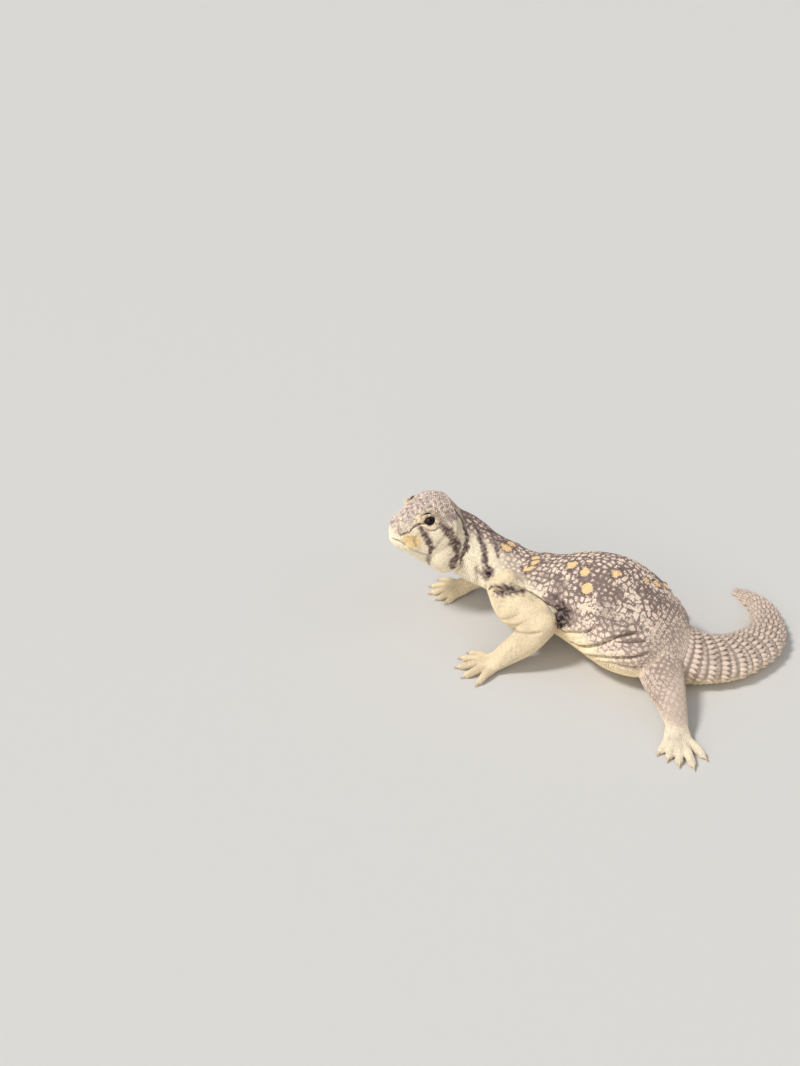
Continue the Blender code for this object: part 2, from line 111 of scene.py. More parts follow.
def add_node(tree: NodeTree, kind: str, feeds: dict | None = None, **settings: Any) -> bpy.types.Node:
    """Add a node with its settings and links.

    Args:
        tree: Tree that gets the node.
        kind: Type name of the node.
        feeds: Input names or numbers, each with a value or with the output that feeds it.
        **settings: Properties of the node.

    Returns:
        The new node.
    """
    node = tree.nodes.new(kind)
    for name, value in settings.items():
        setattr(node, name, value)
    for key, value in (feeds or {}).items():
        if isinstance(value, bpy.types.NodeSocket):
            tree.links.new(value, node.inputs[key])
        else:
            node.inputs[key].default_value = value
    return node


def new_material(name: str, values: dict[str, Any]) -> tuple[Material, bpy.types.Node]:
    """Make a material.

    Args:
        name: Name of the material.
        values: Constant values of its shader's inputs, by name.

    Returns:
        The material and its shader.
    """
    material = bpy.data.materials.new(name)
    material.use_nodes = True
    shader = material.node_tree.nodes["Principled BSDF"]
    for key, value in values.items():
        shader.inputs[key].default_value = value
    return material, shader


def add_object(name: str, data: Any) -> Object:
    """Put a mesh, a lamp or a camera into the scene."""
    obj = bpy.data.objects.new(name, data)
    bpy.context.scene.collection.objects.link(obj)
    return obj


def mesh_object(name: str, places: Any, faces: Sequence[Sequence[int]] = ()) -> Object:
    """Make an object of places in metres and the faces between them."""
    mesh = bpy.data.meshes.new(name)
    mesh.from_pydata(np.asarray(places).tolist(), [], faces)
    return add_object(name, mesh)


def read_rows(items: Any, name: str, width: int, kind: type = np.float32) -> Array:
    """Read a property of every item of a collection as one row of numbers each."""
    flat = np.zeros(len(items) * width, kind)
    items.foreach_get(name, flat)
    return flat.reshape(-1, width)


def tree_of(places: Array) -> KDTree:
    """Sort places into a tree that finds the nearest of them."""
    tree = KDTree(len(places))
    for i, place in enumerate(places):
        tree.insert(place, i)
    tree.balance()
    return tree


def norm(vectors: Array) -> Array:
    """Measure the length of each vector."""
    return np.linalg.norm(vectors, axis=-1)


def lengths_along(places: Array) -> Array:
    """Measure a line from its start to each of its places."""
    return np.concatenate([[0.0], np.cumsum(norm(np.diff(places, axis=0)))])


def ball_angles(rows: int, rounds: int) -> tuple[Array, Array]:
    """Spread the angles from a ball's pole and round its axis over rows of places between two poles."""
    polar = np.repeat(np.linspace(0, math.pi, rows + 2)[1:-1], rounds)
    turn = np.tile(np.linspace(0, math.tau, rounds, endpoint=False), rows)
    return np.concatenate([[0], polar, [math.pi]])[:, None], np.concatenate([[0], turn, [0]])[:, None]


def section_edge(angle: Array, sizes: Any, grow: float = 0.0) -> tuple[Array, Array]:
    """Find the edge of a section of the body.

    Args:
        angle: Turns from the side over the top.
        sizes: Half width, height above, depth below and squareness.
        grow: Distance outwards from the edge.

    Returns:
        How far aside and how far up the edge is.
    """
    half_width, above, below, power = sizes
    c, s = np.cos(angle), np.sin(angle)
    out = (half_width + grow) * np.sign(c) * np.abs(c) ** (2 / power)
    return out, (np.where(s > 0, above, below) + grow) * np.sign(s) * np.abs(s) ** (2 / power)


def spline(rows: Rows, ts: Any) -> Array:
    """Read a Catmull-Rom curve through rows, where a whole t is a row.

    Args:
        rows: Rows of numbers that the curve passes through.
        ts: Places along it.

    Returns:
        One row of numbers for each place.
    """
    table = np.asarray(rows, float)
    places = np.clip(np.atleast_1d(np.asarray(ts, float)), 0, len(table) - 1)
    i = np.minimum(places.astype(int), len(table) - 2)
    f = (places - i)[:, None]
    padded = np.vstack([2 * table[0] - table[1], table, 2 * table[-1] - table[-2]])
    before, start, end, after = padded[i], padded[i + 1], padded[i + 2], padded[i + 3]
    slope_in, slope_out, rise = (end - before) / 2, (after - start) / 2, end - start
    square, cube = 3 * rise - 2 * slope_in - slope_out, slope_in + slope_out - 2 * rise
    return start + slope_in * f + square * f**2 + cube * f**3


def unit(vectors: Array) -> Array:
    """Scale vectors to a length of one."""
    return vectors / np.maximum(np.linalg.norm(vectors, axis=-1, keepdims=True), 1e-9)


def smooth(low: float, high: float, values: Array) -> Array:
    """Ease from 0 at low to 1 at high."""
    share = np.clip((values - low) / (high - low), 0, 1)
    return share * share * (3 - 2 * share)


@dataclass(frozen=True)
class Frames:
    """Places along a curve, each with its heading, side and up direction."""

    centre: Array
    heading: Array
    side: Array
    up: Array


def frames_of(rows: Rows, ts: Any) -> Frames:
    """Find the frames of a curve whose first three columns are a place.

    Args:
        rows: Rows of the curve.
        ts: Places along it.

    Returns:
        The frames.
    """
    ts = np.atleast_1d(np.asarray(ts, float))
    step, last = 0.02, len(rows) - 1
    ahead = spline(rows, np.minimum(ts + step, last))[:, :3]
    heading = unit(ahead - spline(rows, np.maximum(ts - step, 0))[:, :3])
    side = unit(np.cross(UP, heading))
    return Frames(spline(rows, ts)[:, :3], heading, side, np.cross(heading, side))


def distance_to_path(points: Array, path: Rows) -> tuple[Array, Array, Array]:
    """Measure how far points are from a line through a few places.

    Args:
        points: Points to measure from.
        path: Corners of the line.

    Returns:
        Distance to the line, how far along the line the nearest place is, from 0 to 1, and how far
        above the line the point is.
    """
    corners = spline(path, np.linspace(0, len(path) - 1, 5 * (len(path) - 1) + 1))[:, :3]
    best = np.full(len(points), 1e9)
    share, above = np.zeros(len(points)), np.ones(len(points))
    close = np.flatnonzero(np.all((points > corners.min(0) - 6) & (points < corners.max(0) + 6), axis=1))
    near = points[close]
    for k, (a, b) in enumerate(zip(corners[:-1], corners[1:])):
        run = b - a
        f = np.clip((near - a) @ run / max(run @ run, 1e-9), 0, 1)
        away = near - a - f[:, None] * run
        gap = norm(away)
        nearer = gap < best[close]
        best[close[nearer]] = gap[nearer]
        share[close[nearer]] = (k + f[nearer]) / (len(corners) - 1)
        above[close[nearer]] = away[nearer, 2]
    return best, share, above


def tangled_noise(points: Array, size: float, seed: int) -> Array:
    """Make smooth noise from a few waves that cross at random.

    Args:
        points: Points in millimetres.
        size: Rough size of one patch in millimetres.
        seed: Seed of the waves' directions.

    Returns:
        A value from about -1 to 1 for each point.
    """
    random = np.random.default_rng(seed)
    total = np.zeros(len(points))
    for _ in range(8):
        wave = unit(random.normal(size=3)) * math.tau / (size * random.uniform(1.5, 3.2))
        total += np.sin(points @ wave + random.uniform(0, math.tau))
    return total / 3.2


# Rows of x, y, z, half width and half height, from the body to the knee and from the knee to the foot.
LEG_ROWS = {
    "foreleg_left": {
        "upper": ((-39.0, -7.0, 19.0, 8.0, 8.8), (-31.0, -15.5, 17.6, 7.6, 8.2), (-18.5, -20.8, 18.0, 5.6, 5.8)),
        "lower": ((-17.2, -21.7, 17.4, 5.7, 5.7), (-21.2, -26.4, 11.5, 5.7, 5.4), (-27.0, -31.2, 5.8, 4.8, 3.9)),
    },
    "foreleg_right": {
        "upper": ((-38.0, 9.0, 17.0, 7.6, 7.6), (-40.5, 16.0, 15.6, 6.4, 6.4), (-45.0, 22.0, 13.6, 5.2, 5.2)),
        "lower": ((-45.8, 22.2, 13.2, 5.2, 5.2), (-54.4, 15.9, 9.2, 4.9, 4.7), (-63.2, 8.6, 5.4, 4.2, 3.7)),
    },
    "hindleg_left": {
        "upper": ((22.0, -6.0, 10.6, 8.4, 8.8), (27.5, -15.5, 9.8, 8.0, 8.4), (33.0, -24.0, 8.8, 6.6, 6.6)),
        "lower": ((34.0, -25.0, 8.4, 6.0, 6.0), (37.5, -29.5, 6.6, 5.0, 5.0), (40.5, -33.5, 4.6, 4.0, 3.7)),
    },
    "hindleg_right": {
        "upper": ((17.0, 6.0, 12.0, 8.6, 9.0), (9.5, 17.0, 11.6, 8.0, 8.4), (2.0, 25.5, 10.4, 6.6, 6.6)),
        "lower": ((2.5, 26.5, 10.0, 6.0, 6.0), (8.5, 30.5, 7.2, 5.2, 5.0), (15.0, 33.0, 4.6, 4.0, 3.7)),
    },
}
# Heading in degrees, length and half width of the palm, then the turn and reach of each digit.
FOOT_ROWS = {
    "foreleg_left": (214.0, 9.4, 5.2, ((-40.0, 6.4), (-21.0, 8.2), (0.0, 8.8), (22.0, 8.2), (50.0, 6.4))),
    "foreleg_right": (220.0, 9.0, 5.2, ((38.0, 5.6), (19.0, 7.4), (0.0, 8.4), (-19.0, 8.2), (-44.0, 6.4))),
    "hindleg_left": (296.0, 10.0, 4.9, ((-34.0, 5.0), (-17.0, 6.6), (-2.0, 8.2), (14.0, 9.6), (38.0, 6.6))),
    "hindleg_right": (138.0, 10.0, 4.9, ((34.0, 5.0), (17.0, 6.6), (2.0, 8.2), (-14.0, 9.6), (-38.0, 6.6))),
}


@dataclass(frozen=True)
class BodyPlan:
    """Sizes of the animal, the same as those of the solids."""

    head_centre: tuple = (-73.5, -10.6, 38.6)
    head_yaw: float = math.radians(54.5)
    head_pitch: float = math.radians(8.0)
    head_back: float = -13.0
    head: Rows = (
        (-7.0, -1.0, 12.8, 12.8, 19.4, 2.1), (-2.0, -1.0, 12.4, 13.4, 16.8, 2.2),
        (3.0, -1.4, 11.0, 12.2, 13.2, 2.25), (7.0, -2.2, 9.2, 9.4, 10.0, 2.2), (10.5, -3.0, 7.0, 6.8, 7.2, 2.3),
        (12.8, -3.6, 5.0, 4.4, 4.8, 2.1), (13.8, -3.8, 2.9, 2.4, 2.8, 2.0),
    )
    lumps: Rows = (
        (1.6, 4.8, 6.0, 5.6, 3.6, 2.0), (-6.5, 8.2, -9.0, 7.6, 5.2, 9.0), (10.6, 3.4, -0.6, 2.8, 2.8, 2.8),
        (6.0, 6.6, -5.2, 5.2, 2.8, 2.6),
    )
    eye_radius: float = 2.9
    eye_place: tuple = (2.8, 7.1, 5.3)
    gaze: tuple = (0.16, 1.0, 0.14)
    trunk: Rows = (
        (-54.5, 1.0, 26.8, 10.8, 7.2, 15.0, 2.1), (-46.0, 1.6, 24.2, 11.4, 6.6, 13.6, 2.1),
        (-37.0, 1.4, 22.0, 13.2, 6.4, 12.8, 2.1), (-25.0, 1.0, 20.0, 15.2, 12.3, 14.2, 2.1),
        (-12.0, 0.6, 18.8, 17.6, 19.2, 15.8, 2.1), (1.0, -0.2, 17.8, 20.6, 20.8, 17.0, 2.15),
        (12.0, -1.6, 16.2, 22.2, 15.4, 16.6, 2.2), (20.5, -1.2, 13.2, 20.2, 12.2, 13.6, 2.2),
        (28.0, -0.2, 9.6, 13.0, 9.6, 10.2, 2.2),
    )
    tail_length: float = 84.0
    tail_heading: tuple = (math.radians(20.0), math.radians(156.0))
    tail_sunk: float = 0.12
    tail: Rows = (
        (0.1, 11.4, 8.2, 8.2), (0.25, 9.8, 6.8, 6.6), (0.5, 7.4, 5.4, 5.2), (0.75, 4.9, 3.8, 3.7),
        (0.92, 2.9, 2.3, 2.2), (1.0, 1.3, 1.2, 1.1),
    )
    legs: dict = field(default_factory=lambda: LEG_ROWS)
    feet: dict = field(default_factory=lambda: FOOT_ROWS)
    digit_radii: tuple = (1.9, 1.75, 1.45)
    claw_length: float = 2.6
    claw_radius: float = 0.62
    nape: int = 1
    vent: int = 10

    def head_axes(self) -> tuple[Array, Array, Array]:
        """Forward, right and up directions of the head."""
        level = np.array([-math.cos(self.head_yaw), -math.sin(self.head_yaw), 0.0])
        forward = level * math.cos(self.head_pitch) + UP * math.sin(self.head_pitch)
        right = unit(np.cross(forward, UP))
        return forward, right, np.cross(right, forward)

    def in_head(self, places: Any) -> Array:
        """Move places of forward, right and up in the head into the plan."""
        return np.asarray(self.head_centre) + np.asarray(places, float) @ np.array(self.head_axes())

    def to_head(self, points: Array) -> Array:
        """Read points of the plan as forward, right and up in the head."""
        return (points - np.asarray(self.head_centre)) @ np.array(self.head_axes()).T

    def tail_row(self, share: float, half_width: float, above: float, below: float) -> tuple:
        """One section row of the tail, which lies on the floor and curves to the right."""
        start, end = self.tail_heading
        steps = 40
        turns = start + (end - start) * share * (np.arange(steps) + 0.5) / steps
        x = self.trunk[-1][0] + np.cos(turns).sum() * self.tail_length * share / steps
        y = self.trunk[-1][1] + np.sin(turns).sum() * self.tail_length * share / steps
        return x, y, below * (1 - self.tail_sunk), half_width, above, below, 2.1

    def spine_rows(self) -> Array:
        """Section rows from the head's centre to the tail's tip."""
        rows = [(*self.in_head((0.0, 0.0, -2.0)), 11.8, 11.0, 15.0, 2.2)]
        rows.append((*self.in_head((self.head_back, 0.0, -4.0)), 11.6, 7.8, 18.6, 2.1))
        return np.array(rows + list(self.trunk) + [self.tail_row(*row) for row in self.tail])


@dataclass
class Spine:
    """The animal's middle line from head to tail, with the section of the body at each place."""

    plan: BodyPlan
    rows: Array = field(init=False)
    ts: Array = field(init=False)
    lengths: Array = field(init=False)

    def __post_init__(self) -> None:
        """Measure the line."""
        self.rows = self.plan.spine_rows()
        last = len(self.rows) - 1
        self.ts = np.linspace(0, last, 60 * last + 1)
        self.lengths = lengths_along(spline(self.rows, self.ts)[:, :3])

    def t_at(self, distance: Any) -> Array:
        """Find t at distances along the line."""
        return np.interp(distance, self.lengths, self.ts)

    def distance_at(self, t: Any) -> Array:
        """Find the distances along the line at t."""
        return np.interp(t, self.ts, self.lengths)

    def surface(self, t: Array, angle: Array, grow: float = 0.0) -> tuple[Array, Array]:
        """Find points on the body's surface.

        Args:
            t: Places along the line.
            angle: Turns round it, from the left side over the back.
            grow: Distance outwards from the solids' surface.

        Returns:
            The points and the heading at each.
        """
        frames = frames_of(self.rows, t)
        out, rise = section_edge(angle, spline(self.rows, t)[:, 3:].T, grow)
        return frames.centre + frames.side * out[:, None] + frames.up * rise[:, None], frames.heading

    def nearest(self, points: Array) -> tuple[Array, Array, Array]:
        """Read points as places along the line.

        Args:
            points: Points of the plan.

        Returns:
            t, the angle round the line, and the distance from it as a share of the section's.
        """
        centres = spline(self.rows, self.ts)[:, :3]
        tree = tree_of(centres)
        found = np.array([tree.find(point)[1] for point in points])
        frames = frames_of(self.rows, self.ts)
        gap = points - centres[found]
        out = (gap * frames.side[found]).sum(1)
        rise = (gap * frames.up[found]).sum(1)
        half_width, above, below, _ = spline(self.rows, self.ts)[found, 3:].T
        reach = np.hypot(out / half_width, rise / np.where(rise > 0, above, below))
        return self.ts[found], np.arctan2(rise, out), reach


@dataclass
class MeshParts:
    """Closed surfaces gathered into one mesh."""

    points: list = field(default_factory=list)
    faces: list = field(default_factory=list)
    count: int = 0

    def add(self, points: Array, faces: Sequence[Sequence[int]]) -> None:
        """Add a surface whose faces count its own points."""
        self.points.append(points)
        self.faces += [tuple(i + self.count for i in face) for face in faces]
        self.count += len(points)

    def add_rings(self, rings: Array, closed: bool = False) -> None:
        """Add a tube through rings of equal count.

        Args:
            rings: Points as rings by count by three.
            closed: True joins the last ring to the first one in place of flat ends.
        """
        total, count = rings.shape[:2]
        faces = []
        for i in range(total if closed else total - 1):
            here, there = i * count, (i + 1) % total * count
            for k in range(count):
                after = (k + 1) % count
                faces.append((here + k, there + k, there + after, here + after))
        if not closed:
            faces.append(tuple(range(count)))
            faces.append(tuple(range(total * count - 1, (total - 1) * count - 1, -1)))
        self.add(rings.reshape(-1, 3), faces)

    def add_ball(self, places: Array, rounds: int, rows: int) -> None:
        """Add a closed surface through a grid of places between two poles.

        Args:
            places: First pole, then the rows of the grid, then the last pole.
            rounds: Places in each row.
            rows: Rows of the grid.
        """
        faces = [(0, 1 + k, 1 + (k + 1) % rounds) for k in range(rounds)]
        for i in range(rows - 1):
            for k in range(rounds):
                here, after = 1 + i * rounds + k, 1 + i * rounds + (k + 1) % rounds
                faces.append((here, here + rounds, after + rounds, after))
        last = 1 + rows * rounds
        faces += [(last, last - rounds + (k + 1) % rounds, last - rounds + k) for k in range(rounds)]
        self.add(places, faces)


@dataclass
class Workshop:
    """Makes mesh objects in the row's frame from places in the plan."""

    plan: BodyPlan
    shift: Array = field(init=False)
    box: Array = field(init=False)

    def __post_init__(self) -> None:
        """Read the box of the solids, and find the row's origin in the plan from the left eye's box."""
        self.box = np.array([tuple(corner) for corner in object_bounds()])
        low, high = (np.array(corner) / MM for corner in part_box("eye_left"))
        forward, out, rise = self.plan.eye_place
        eye = self.plan.in_head((forward, -out, rise))
        self.shift = np.array([*((low + high) / 2 - eye)[:2], 0.0])

    def to_row(self, points: Array) -> Array:
        """Turn places of the plan into metres in the row's frame."""
        return (points + self.shift) * MM

    def settle(self, mesh: Mesh, points: Array) -> None:
        """Put places of the plan into a mesh, kept inside the box of the solids."""
        places = np.clip(self.to_row(points), *self.box)
        mesh.vertices.foreach_set("co", places.astype(np.float32).ravel())
        mesh.update()

    def to_plan(self, mesh: Mesh) -> Array:
        """Read a mesh's vertices as places of the plan."""
        return read_rows(mesh.vertices, "co", 3).astype(float) / MM - self.shift

    def make(self, name: str, parts: MeshParts, tidy: bool = True) -> Object:
        """Make an object of gathered surfaces, with its faces outwards.

        Args:
            name: Name of the piece.
            parts: Its surfaces.
            tidy: True turns all faces outwards.

        Returns:
            The object.
        """
        obj = mesh_object(name, self.to_row(np.vstack(parts.points)), parts.faces)
        if tidy:
            turn_outwards(obj.data)
        obj.data.shade_smooth()
        return obj


def normals_of(mesh: Mesh) -> Array:
    """Read the smooth normals of a mesh's points."""
    return read_rows(mesh.vertices, "normal", 3).astype(float)


@dataclass
class Surface:
    """A mesh as arrays of triangles, on which places are found."""

    shop: Workshop
    mesh: Mesh
    points: Array = field(init=False)
    normals: Array = field(init=False)
    loops: Array = field(init=False)
    corners: Array = field(init=False)
    tree: BVHTree = field(init=False)

    def __post_init__(self) -> None:
        """Read the mesh."""
        self.points, self.normals = self.shop.to_plan(self.mesh), normals_of(self.mesh)
        self.mesh.calc_loop_triangles()
        faces = self.mesh.loop_triangles
        self.loops, self.corners = (read_rows(faces, name, 3, np.int32) for name in ("loops", "vertices"))
        self.tree = BVHTree.FromPolygons(self.points.tolist(), self.corners.tolist())

    def find(self, places: Array) -> tuple[Array, Array, Array, Array]:
        """Find the nearest place of the surface.

        Args:
            places: Places near it.

        Returns:
            Places on the surface, the number of the triangle, the weights of its corners, and the gap.
        """
        hits = [self.tree.find_nearest(place) for place in places]
        found = np.array([tuple(hit[0]) for hit in hits])
        number = np.array([hit[2] for hit in hits])
        a, b, c = (self.points[self.corners[number, k]] for k in range(3))
        whole = norm(np.cross(b - a, c - a)) + 1e-12
        first = norm(np.cross(b - found, c - found)) / whole
        second = norm(np.cross(c - found, a - found)) / whole
        weights = np.column_stack([first, second, 1 - first - second])
        return found, number, weights, np.array([hit[3] for hit in hits])

    def snap(self, path: Rows) -> Array:
        """Lay a path on the surface."""
        fine = spline(path, np.linspace(0, len(path) - 1, 3 * (len(path) - 1) + 1))
        return self.find(fine)[0]

    def facing(self, number: Array, weights: Array) -> Array:
        """Blend the smooth normals of triangles' corners."""
        return unit((self.normals[self.corners[number]] * weights[..., None]).sum(1))


def turn_outwards(mesh: Mesh) -> None:
    """Recalculate the normals of closed surfaces so that they point outwards."""
    shape = bmesh.new()
    shape.from_mesh(mesh)
    bmesh.ops.recalc_face_normals(shape, faces=shape.faces)
    shape.to_mesh(mesh)
    shape.free()


def evaluated_mesh(obj: Object) -> Mesh:
    """Make a plain mesh of an object with its modifiers."""
    graph = bpy.context.evaluated_depsgraph_get()
    return bpy.data.meshes.new_from_object(obj.evaluated_get(graph))


def apply_modifiers(obj: Object) -> None:
    """Give an object the mesh that its modifiers make, and take them off."""
    obj.data = evaluated_mesh(obj)
    obj.modifiers.clear()


def put_attribute(mesh: Mesh, name: str, values: Array) -> None:
    """Store numbers, pairs or vectors on a mesh's points.

    Args:
        mesh: Mesh that gets them.
        name: Name of the attribute.
        values: One number, pair or vector for each point.
    """
    kinds = {1: ("FLOAT", "value"), 2: ("FLOAT2", "vector"), 3: ("FLOAT_VECTOR", "vector")}
    kind, key = kinds[1 if values.ndim == 1 else values.shape[1]]
    layer = mesh.attributes.new(name, kind, "POINT")
    layer.data.foreach_set(key, np.ascontiguousarray(values, np.float32).ravel())


def triangles(mesh: Mesh) -> int:
    """Count a mesh's triangles."""
    return sum(len(face.vertices) - 2 for face in mesh.polygons)


@dataclass(frozen=True)
class Crease:
    """A groove in the skin along a path, where the skin above it swells over it."""

    path: Rows
    depth: float
    width: float
    swell: float
    # dark is painted shade laid along the groove; on the shoulder fold it also stands for the purple-brown skin
    # there.
    dark: float = 0.0
    fades: bool = True
    fine: bool = False
    bare: float = 0.0


# Folds of the body's left side, in the plan. The first ones have a mirror image on the right side.
MIRRORED_FOLDS = 8
BODY_CREASES = (
    Crease((
        (-43.6, -13.2, 19.6), (-42.2, -14.4, 21.4), (-39.2, -16.1, 23.2), (-36.4, -16.9, 24.5),
        (-33.0, -17.0, 25.3), (-30.0, -16.2, 25.3), (-25.8, -14.5, 23.9), (-20.7, -14.6, 22.6),
        (-15.7, -15.7, 22.3), (-12.7, -16.6, 20.8), (-9.4, -17.6, 20.1),
    ), depth=2.1, width=1.1, swell=1.1, dark=0.86),
    Crease((
        (-10.2, -16.9, 14.0), (-8.0, -18.1, 15.5), (-0.9, -20.5, 19.5), (2.1, -21.0, 22.4), (4.9, -20.7, 24.9),
    ), depth=1.1, width=0.8, swell=0.45, dark=0.5),
    Crease((
        (-7.9, -17.3, 9.6), (-1.5, -19.6, 12.8), (3.2, -22.1, 16.0), (6.4, -22.9, 18.4), (9.2, -22.8, 20.7),
        (11.7, -21.9, 22.8), (16.4, -19.2, 24.6), (19.2, -17.7, 24.5),
    ), depth=1.8, width=0.9, swell=0.9, dark=0.62),
    Crease((
        (-4.0, -17.6, 8.4), (0.1, -19.0, 9.7), (6.0, -22.5, 13.0), (10.8, -23.4, 14.7), (15.2, -23.4, 16.2),
        (19.2, -22.5, 17.5), (22.1, -20.7, 18.7), (24.1, -18.4, 19.7),
    ), depth=1.4, width=0.85, swell=0.75, dark=0.55),
    Crease((
        (5.0, -21.4, 10.0), (11.7, -23.2, 12.7), (15.5, -23.1, 12.8), (19.6, -22.3, 13.1), (23.6, -21.1, 13.9),
    ), depth=1.0, width=0.8, swell=0.45, dark=0.45),
    Crease((
        (12.0, -22.4, 21.2), (14.1, -22.1, 21.7), (17.4, -21.0, 22.2), (20.3, -19.1, 22.6), (22.5, -17.1, 22.7),
    ), depth=0.9, width=0.7, swell=0.4, dark=0.4),
    Crease((
        (-46.0, -8.6, 28.6), (-45.0, -10.0, 23.4), (-46.0, -9.0, 18.0), (-48.0, -4.0, 14.5),
    ), depth=1.0, width=1.0, swell=0.5, dark=0.3),
    Crease((
        (-51.5, -7.5, 26.0), (-51.0, -7.8, 21.0), (-52.5, -4.0, 16.4),
    ), depth=0.5, width=0.8, swell=0.3, dark=0.1),
    Crease((
        (-26.5, -26.0, 14.6), (-22.5, -28.0, 16.0), (-18.0, -28.4, 17.4), (-14.5, -26.0, 18.2),
    ), depth=0.8, width=0.7, swell=0.4, dark=0.3),
    Crease((
        (-33.5, -20.5, 14.5), (-29.5, -22.6, 17.0), (-24.0, -22.4, 21.0),
    ), depth=0.35, width=0.8, swell=0.25),
    Crease(((-30.5, -21.6, 13.4), (-26.0, -24.4, 15.8), (-20.5, -24.2, 20.4)), depth=0.3, width=0.7, swell=0.2),
)
# Folds, mouth, nostril and ear of the head's left side: forward, right and up in the head.
HEAD_CREASES = (
    Crease((
        (13.9, 0.0, -5.5), (13.5, -3.2, -4.7), (12.6, -4.9, -4.5), (11.3, -6.2, -5.1), (9.9, -7.9, -6.2),
        (8.1, -8.1, -7.2), (5.1, -8.3, -7.9), (2.4, -8.9, -8.3),
    ), depth=1.2, width=0.6, swell=0.34, dark=0.95, fades=False, fine=True, bare=0.36),
    Crease((
        (12.6, -4.7, -1.9), (11.7, -5.6, -0.8), (10.1, -6.6, 0.0),
    ), depth=1.3, width=0.6, swell=0.32, dark=1.0, fades=False, fine=True, bare=0.6),
    Crease((
        (-12.7, -11.2, -3.4), (-13.0, -12.6, -5.0), (-12.6, -13.3, -6.8),
    ), depth=1.3, width=0.85, swell=0.3, dark=0.85, fine=True, bare=0.6),
    Crease((
        (-3.3, -12.2, 0.7), (-0.9, -11.9, -1.8), (0.1, -11.2, -4.7),
    ), depth=0.4, width=0.9, swell=0.2, dark=0.1),
    Crease((
        (6.4, -5.4, 6.4), (4.6, -4.8, 8.4), (2.3, -5.4, 9.5), (0.0, -6.9, 9.6), (-1.6, -8.9, 8.2),
    ), depth=0.28, width=0.6, swell=0.14, dark=0.25, fine=True),
    Crease((
        (6.4, -8.2, 3.4), (4.0, -9.9, 2.2), (1.9, -10.7, 2.3), (-0.6, -11.0, 3.8),
    ), depth=0.45, width=0.55, swell=0.18, dark=0.65, fine=True),
    Crease((
        (5.5, -8.7, 4.6), (7.2, -7.3, 3.3), (8.8, -6.8, 1.9), (9.9, -6.6, 0.4),
    ), depth=0.45, width=0.7, swell=0.16, dark=0.95, fades=False, fine=True),
    Crease((
        (4.0, -8.9, -10.6), (-1.0, -10.0, -13.0), (-6.0, -10.2, -15.2),
    ), depth=0.5, width=1.0, swell=0.35, dark=0.05),
    Crease((
        (-13.5, -10.5, -10.0), (-13.0, -10.5, -14.0), (-12.5, -8.5, -18.0),
    ), depth=0.9, width=1.1, swell=0.5, dark=0.25),
)


def both_sides(plan: BodyPlan, path: Rows) -> list[Array]:
    """Move a path of the head's left side into the plan, with its mirror image."""
    return [plan.in_head(np.asarray(path) * (1, flip, 1)) for flip in (1, -1)]


def creases(plan: BodyPlan) -> list[Crease]:
    """List every crease in the plan, those of the head on both of its sides."""
    heads = [replace(crease, path=path) for crease in HEAD_CREASES for path in both_sides(plan, crease.path)]
    folds = BODY_CREASES[:MIRRORED_FOLDS]
    flips = [replace(fold, path=mirror_in_body(plan, fold.path)) for fold in folds]
    return [*BODY_CREASES, *flips, *heads]


def mirror_in_body(plan: BodyPlan, places: Rows) -> Array:
    """Move places of one side of the body to its other side."""
    spine = Spine(plan)
    places = np.asarray(places, float)
    frames = frames_of(spine.rows, spine.nearest(places)[0])
    out = ((places - frames.centre) * frames.side).sum(1, keepdims=True)
    return places - 2 * out * frames.side


